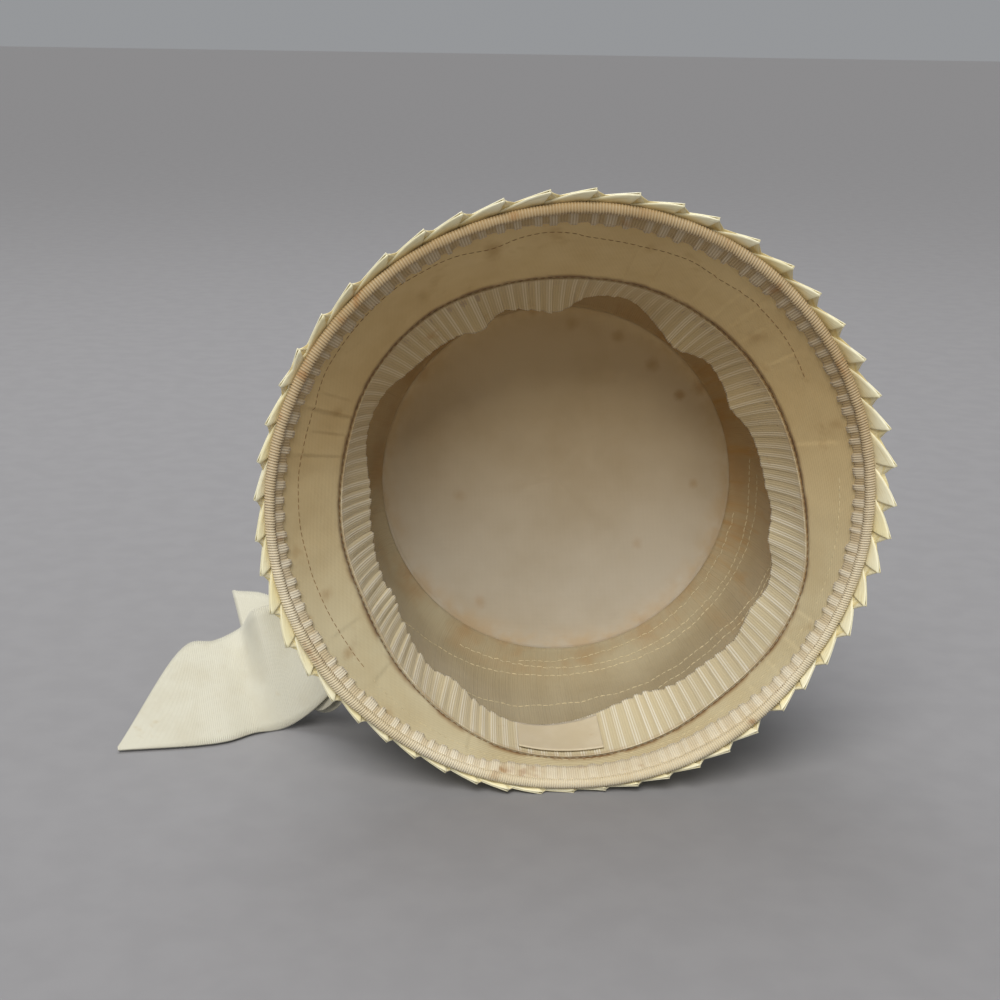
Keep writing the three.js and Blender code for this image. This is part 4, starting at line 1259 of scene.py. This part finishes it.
# Lines of stitches on the crown lining: clock, distance up from the head line
LINING_SEAMS = [
    [
        (232, 52.3), (219, 62.8), (204, 68.7), (192, 72.0), (181, 73.0), (160, 72.6), (150, 70.6), (142, 69.2),
        (124, 69.8), (108, 69.4), (100, 69.0), (86, 66.0),
    ],
    [
        (212, 74.5), (200, 75.8), (190, 76.2), (167, 75.6), (150, 74.2), (140, 73.2), (128, 73.3), (119, 72.8),
        (106, 73.5), (90, 73.2), (82, 71.3),
    ],
    [(192, 77.5), (172, 78.6), (157, 78.8), (146, 78.4), (135, 78.6), (119, 79.0), (100, 79.0)],
    [
        (220, 30.3), (211, 35.2), (203, 39.8), (189, 47.2), (180, 51.5), (168, 53.4), (154, 51.1), (145, 49.6),
        (134, 48.5), (125, 46.0), (116, 42.6), (107, 41.8),
    ],
    [(182, 30.3), (172, 36.2), (163, 39.3), (151, 41.1), (141, 40.8), (130, 40.3), (120, 38.6), (109, 37.5)],
]


def facing_stitches():
    walk_at = lambda clock: in_from_circle(clock, facing_seam_in(clock))
    out_at = lambda clock: facing_out(clock, walk_at(clock)) - 0.04
    front = wall_line(np.linspace(236, 416, 1100), walk_at, out_at)
    stitches("facing_stitches_front", front, 2.3, 0.35, 0.13, BROWN_THREAD)
    back = wall_line(np.linspace(78, 234, 700), walk_at, out_at)
    stitches("facing_stitches_back", back, 2.4, 0.5, 0.13, PALE_THREAD)


def binding_stitches():
    for part, ends, thread in (("front", (236, 490), BROWN_THREAD), ("back", (130, 236), PALE_THREAD)):
        line = wall_line(np.linspace(*ends, 1100), binding_seam_walk, lambda clock: -1.02 + 0 * clock)
        stitches(f"binding_stitches_{part}", line, 2.6, 0.12, 0.12, thread)


def sweatband_stitches():
    walk_at, out_at = lambda clock: -0.5 + 0 * clock, lambda clock: -0.95 + 0 * clock
    line = wall_line(np.linspace(0, 359.9, 1440), walk_at, out_at)
    stitches("sweatband_stitches", line, 1.8, 0.9, 0.14, BROWN_THREAD)


def lining_stitches(number, seam):
    path = smooth_path(seam[::-1], 600)
    walk_at = lambda clock: np.interp(clock, path[:, 0], path[:, 1]) + 0.25 * noise_round(clock, 60, 70 + number)
    out_at = lambda clock: lining_out(clock, walk_at(clock)) - 0.04
    line = wall_line(np.linspace(seam[-1][0], seam[0][0], 600), walk_at, out_at)
    stitches(f"lining_stitches_{number}", line, 2.6, 0.15, 0.19, PALE_THREAD)


crown_lining()
tip_lining()
brim_facing()
edge_binding()
sweatband()
label()
straw_rows()
tip_button()
ribbon_band()
ribbon_knot()
ribbon_tail()
ribbon_loop()
facing_stitches()
binding_stitches()
sweatband_stitches()
for number, seam in enumerate(LINING_SEAMS, 1):
    lining_stitches(number, seam)

# Floor, camera and light
bpy.ops.mesh.primitive_plane_add(size=60, location=(0, 0, 0))
floor = bpy.context.object
floor.name = "floor"
floor_finish = Finish("pale floor", Roughness=0.9, Specular_IOR_Level=0.2)
floor_cloud = floor_finish.patches(60, 2, 0.5, 0.3, 0.7)
floor_tone = floor_finish.blend(floor_cloud, tone(151, 150, 152), tone(148, 147, 149))
floor.data.materials.append(floor_finish.wear(floor_tone))

# The camera's pitch and yaw off the hat's axis, its lens, and the middle of the head line from the
# camera, to its right, down and forward in millimetres
PITCH = math.radians(12.0)
YAW = math.radians(3.2)
LENS, SENSOR = 58.86, 36
HEAD_RIGHT, HEAD_DOWN, HEAD_AHEAD = 27.9, 8.0, 607.7
right = np.array([math.cos(YAW), -math.sin(YAW) * math.cos(PITCH), math.sin(YAW) * math.sin(PITCH)])
down = np.array([0, -math.sin(PITCH), -math.cos(PITCH)])
forward = np.array([math.sin(YAW), math.cos(YAW) * math.cos(PITCH), -math.cos(YAW) * math.sin(PITCH)])
view_from = placed(-(HEAD_RIGHT * right + HEAD_DOWN * down + HEAD_AHEAD * forward))
camera_data = bpy.data.cameras.new("camera")
camera_data.sensor_width = SENSOR
camera_data.lens = LENS
camera_data.clip_start = 0.01
camera = bpy.data.objects.new("camera", camera_data)
bpy.context.collection.objects.link(camera)
axes = np.stack([right @ HAT_AXES, -down @ HAT_AXES, -forward @ HAT_AXES], axis=1)
camera.matrix_world = Matrix.Translation(Vector(view_from)) @ Matrix(axes.tolist()).to_4x4()
bpy.context.scene.camera = camera


def light(name, kind, place, aim, **settings):
    data = bpy.data.lights.new(name, kind)
    for setting, value in settings.items():
        setattr(data, setting, value)
    lamp = bpy.data.objects.new(name, data)
    bpy.context.collection.objects.link(lamp)
    lamp.location = place
    lamp.rotation_euler = (Vector(aim) - Vector(place)).to_track_quat("-Z", "Y").to_euler()


light(
    "front light", "SUN", (-0.25, -1.15, 1.35), (0.03, 0.0, 0.1),
    energy=2.3, angle=math.radians(34), color=(1.0, 0.98, 0.94),
)
light(
    "ceiling light", "AREA", (-0.2, 0.55, 1.6), (0.0, 0.0, 0.1),
    shape="DISK", size=1.4, energy=10, color=(0.97, 0.98, 1.0),
)
world = bpy.data.worlds.new("studio")
world.use_nodes = True
world.node_tree.nodes["Background"].inputs["Color"].default_value = (0.8, 0.82, 0.85, 1)
world.node_tree.nodes["Background"].inputs["Strength"].default_value = 0.38
bpy.context.scene.world = world
bpy.context.scene.view_settings.view_transform = "Standard"
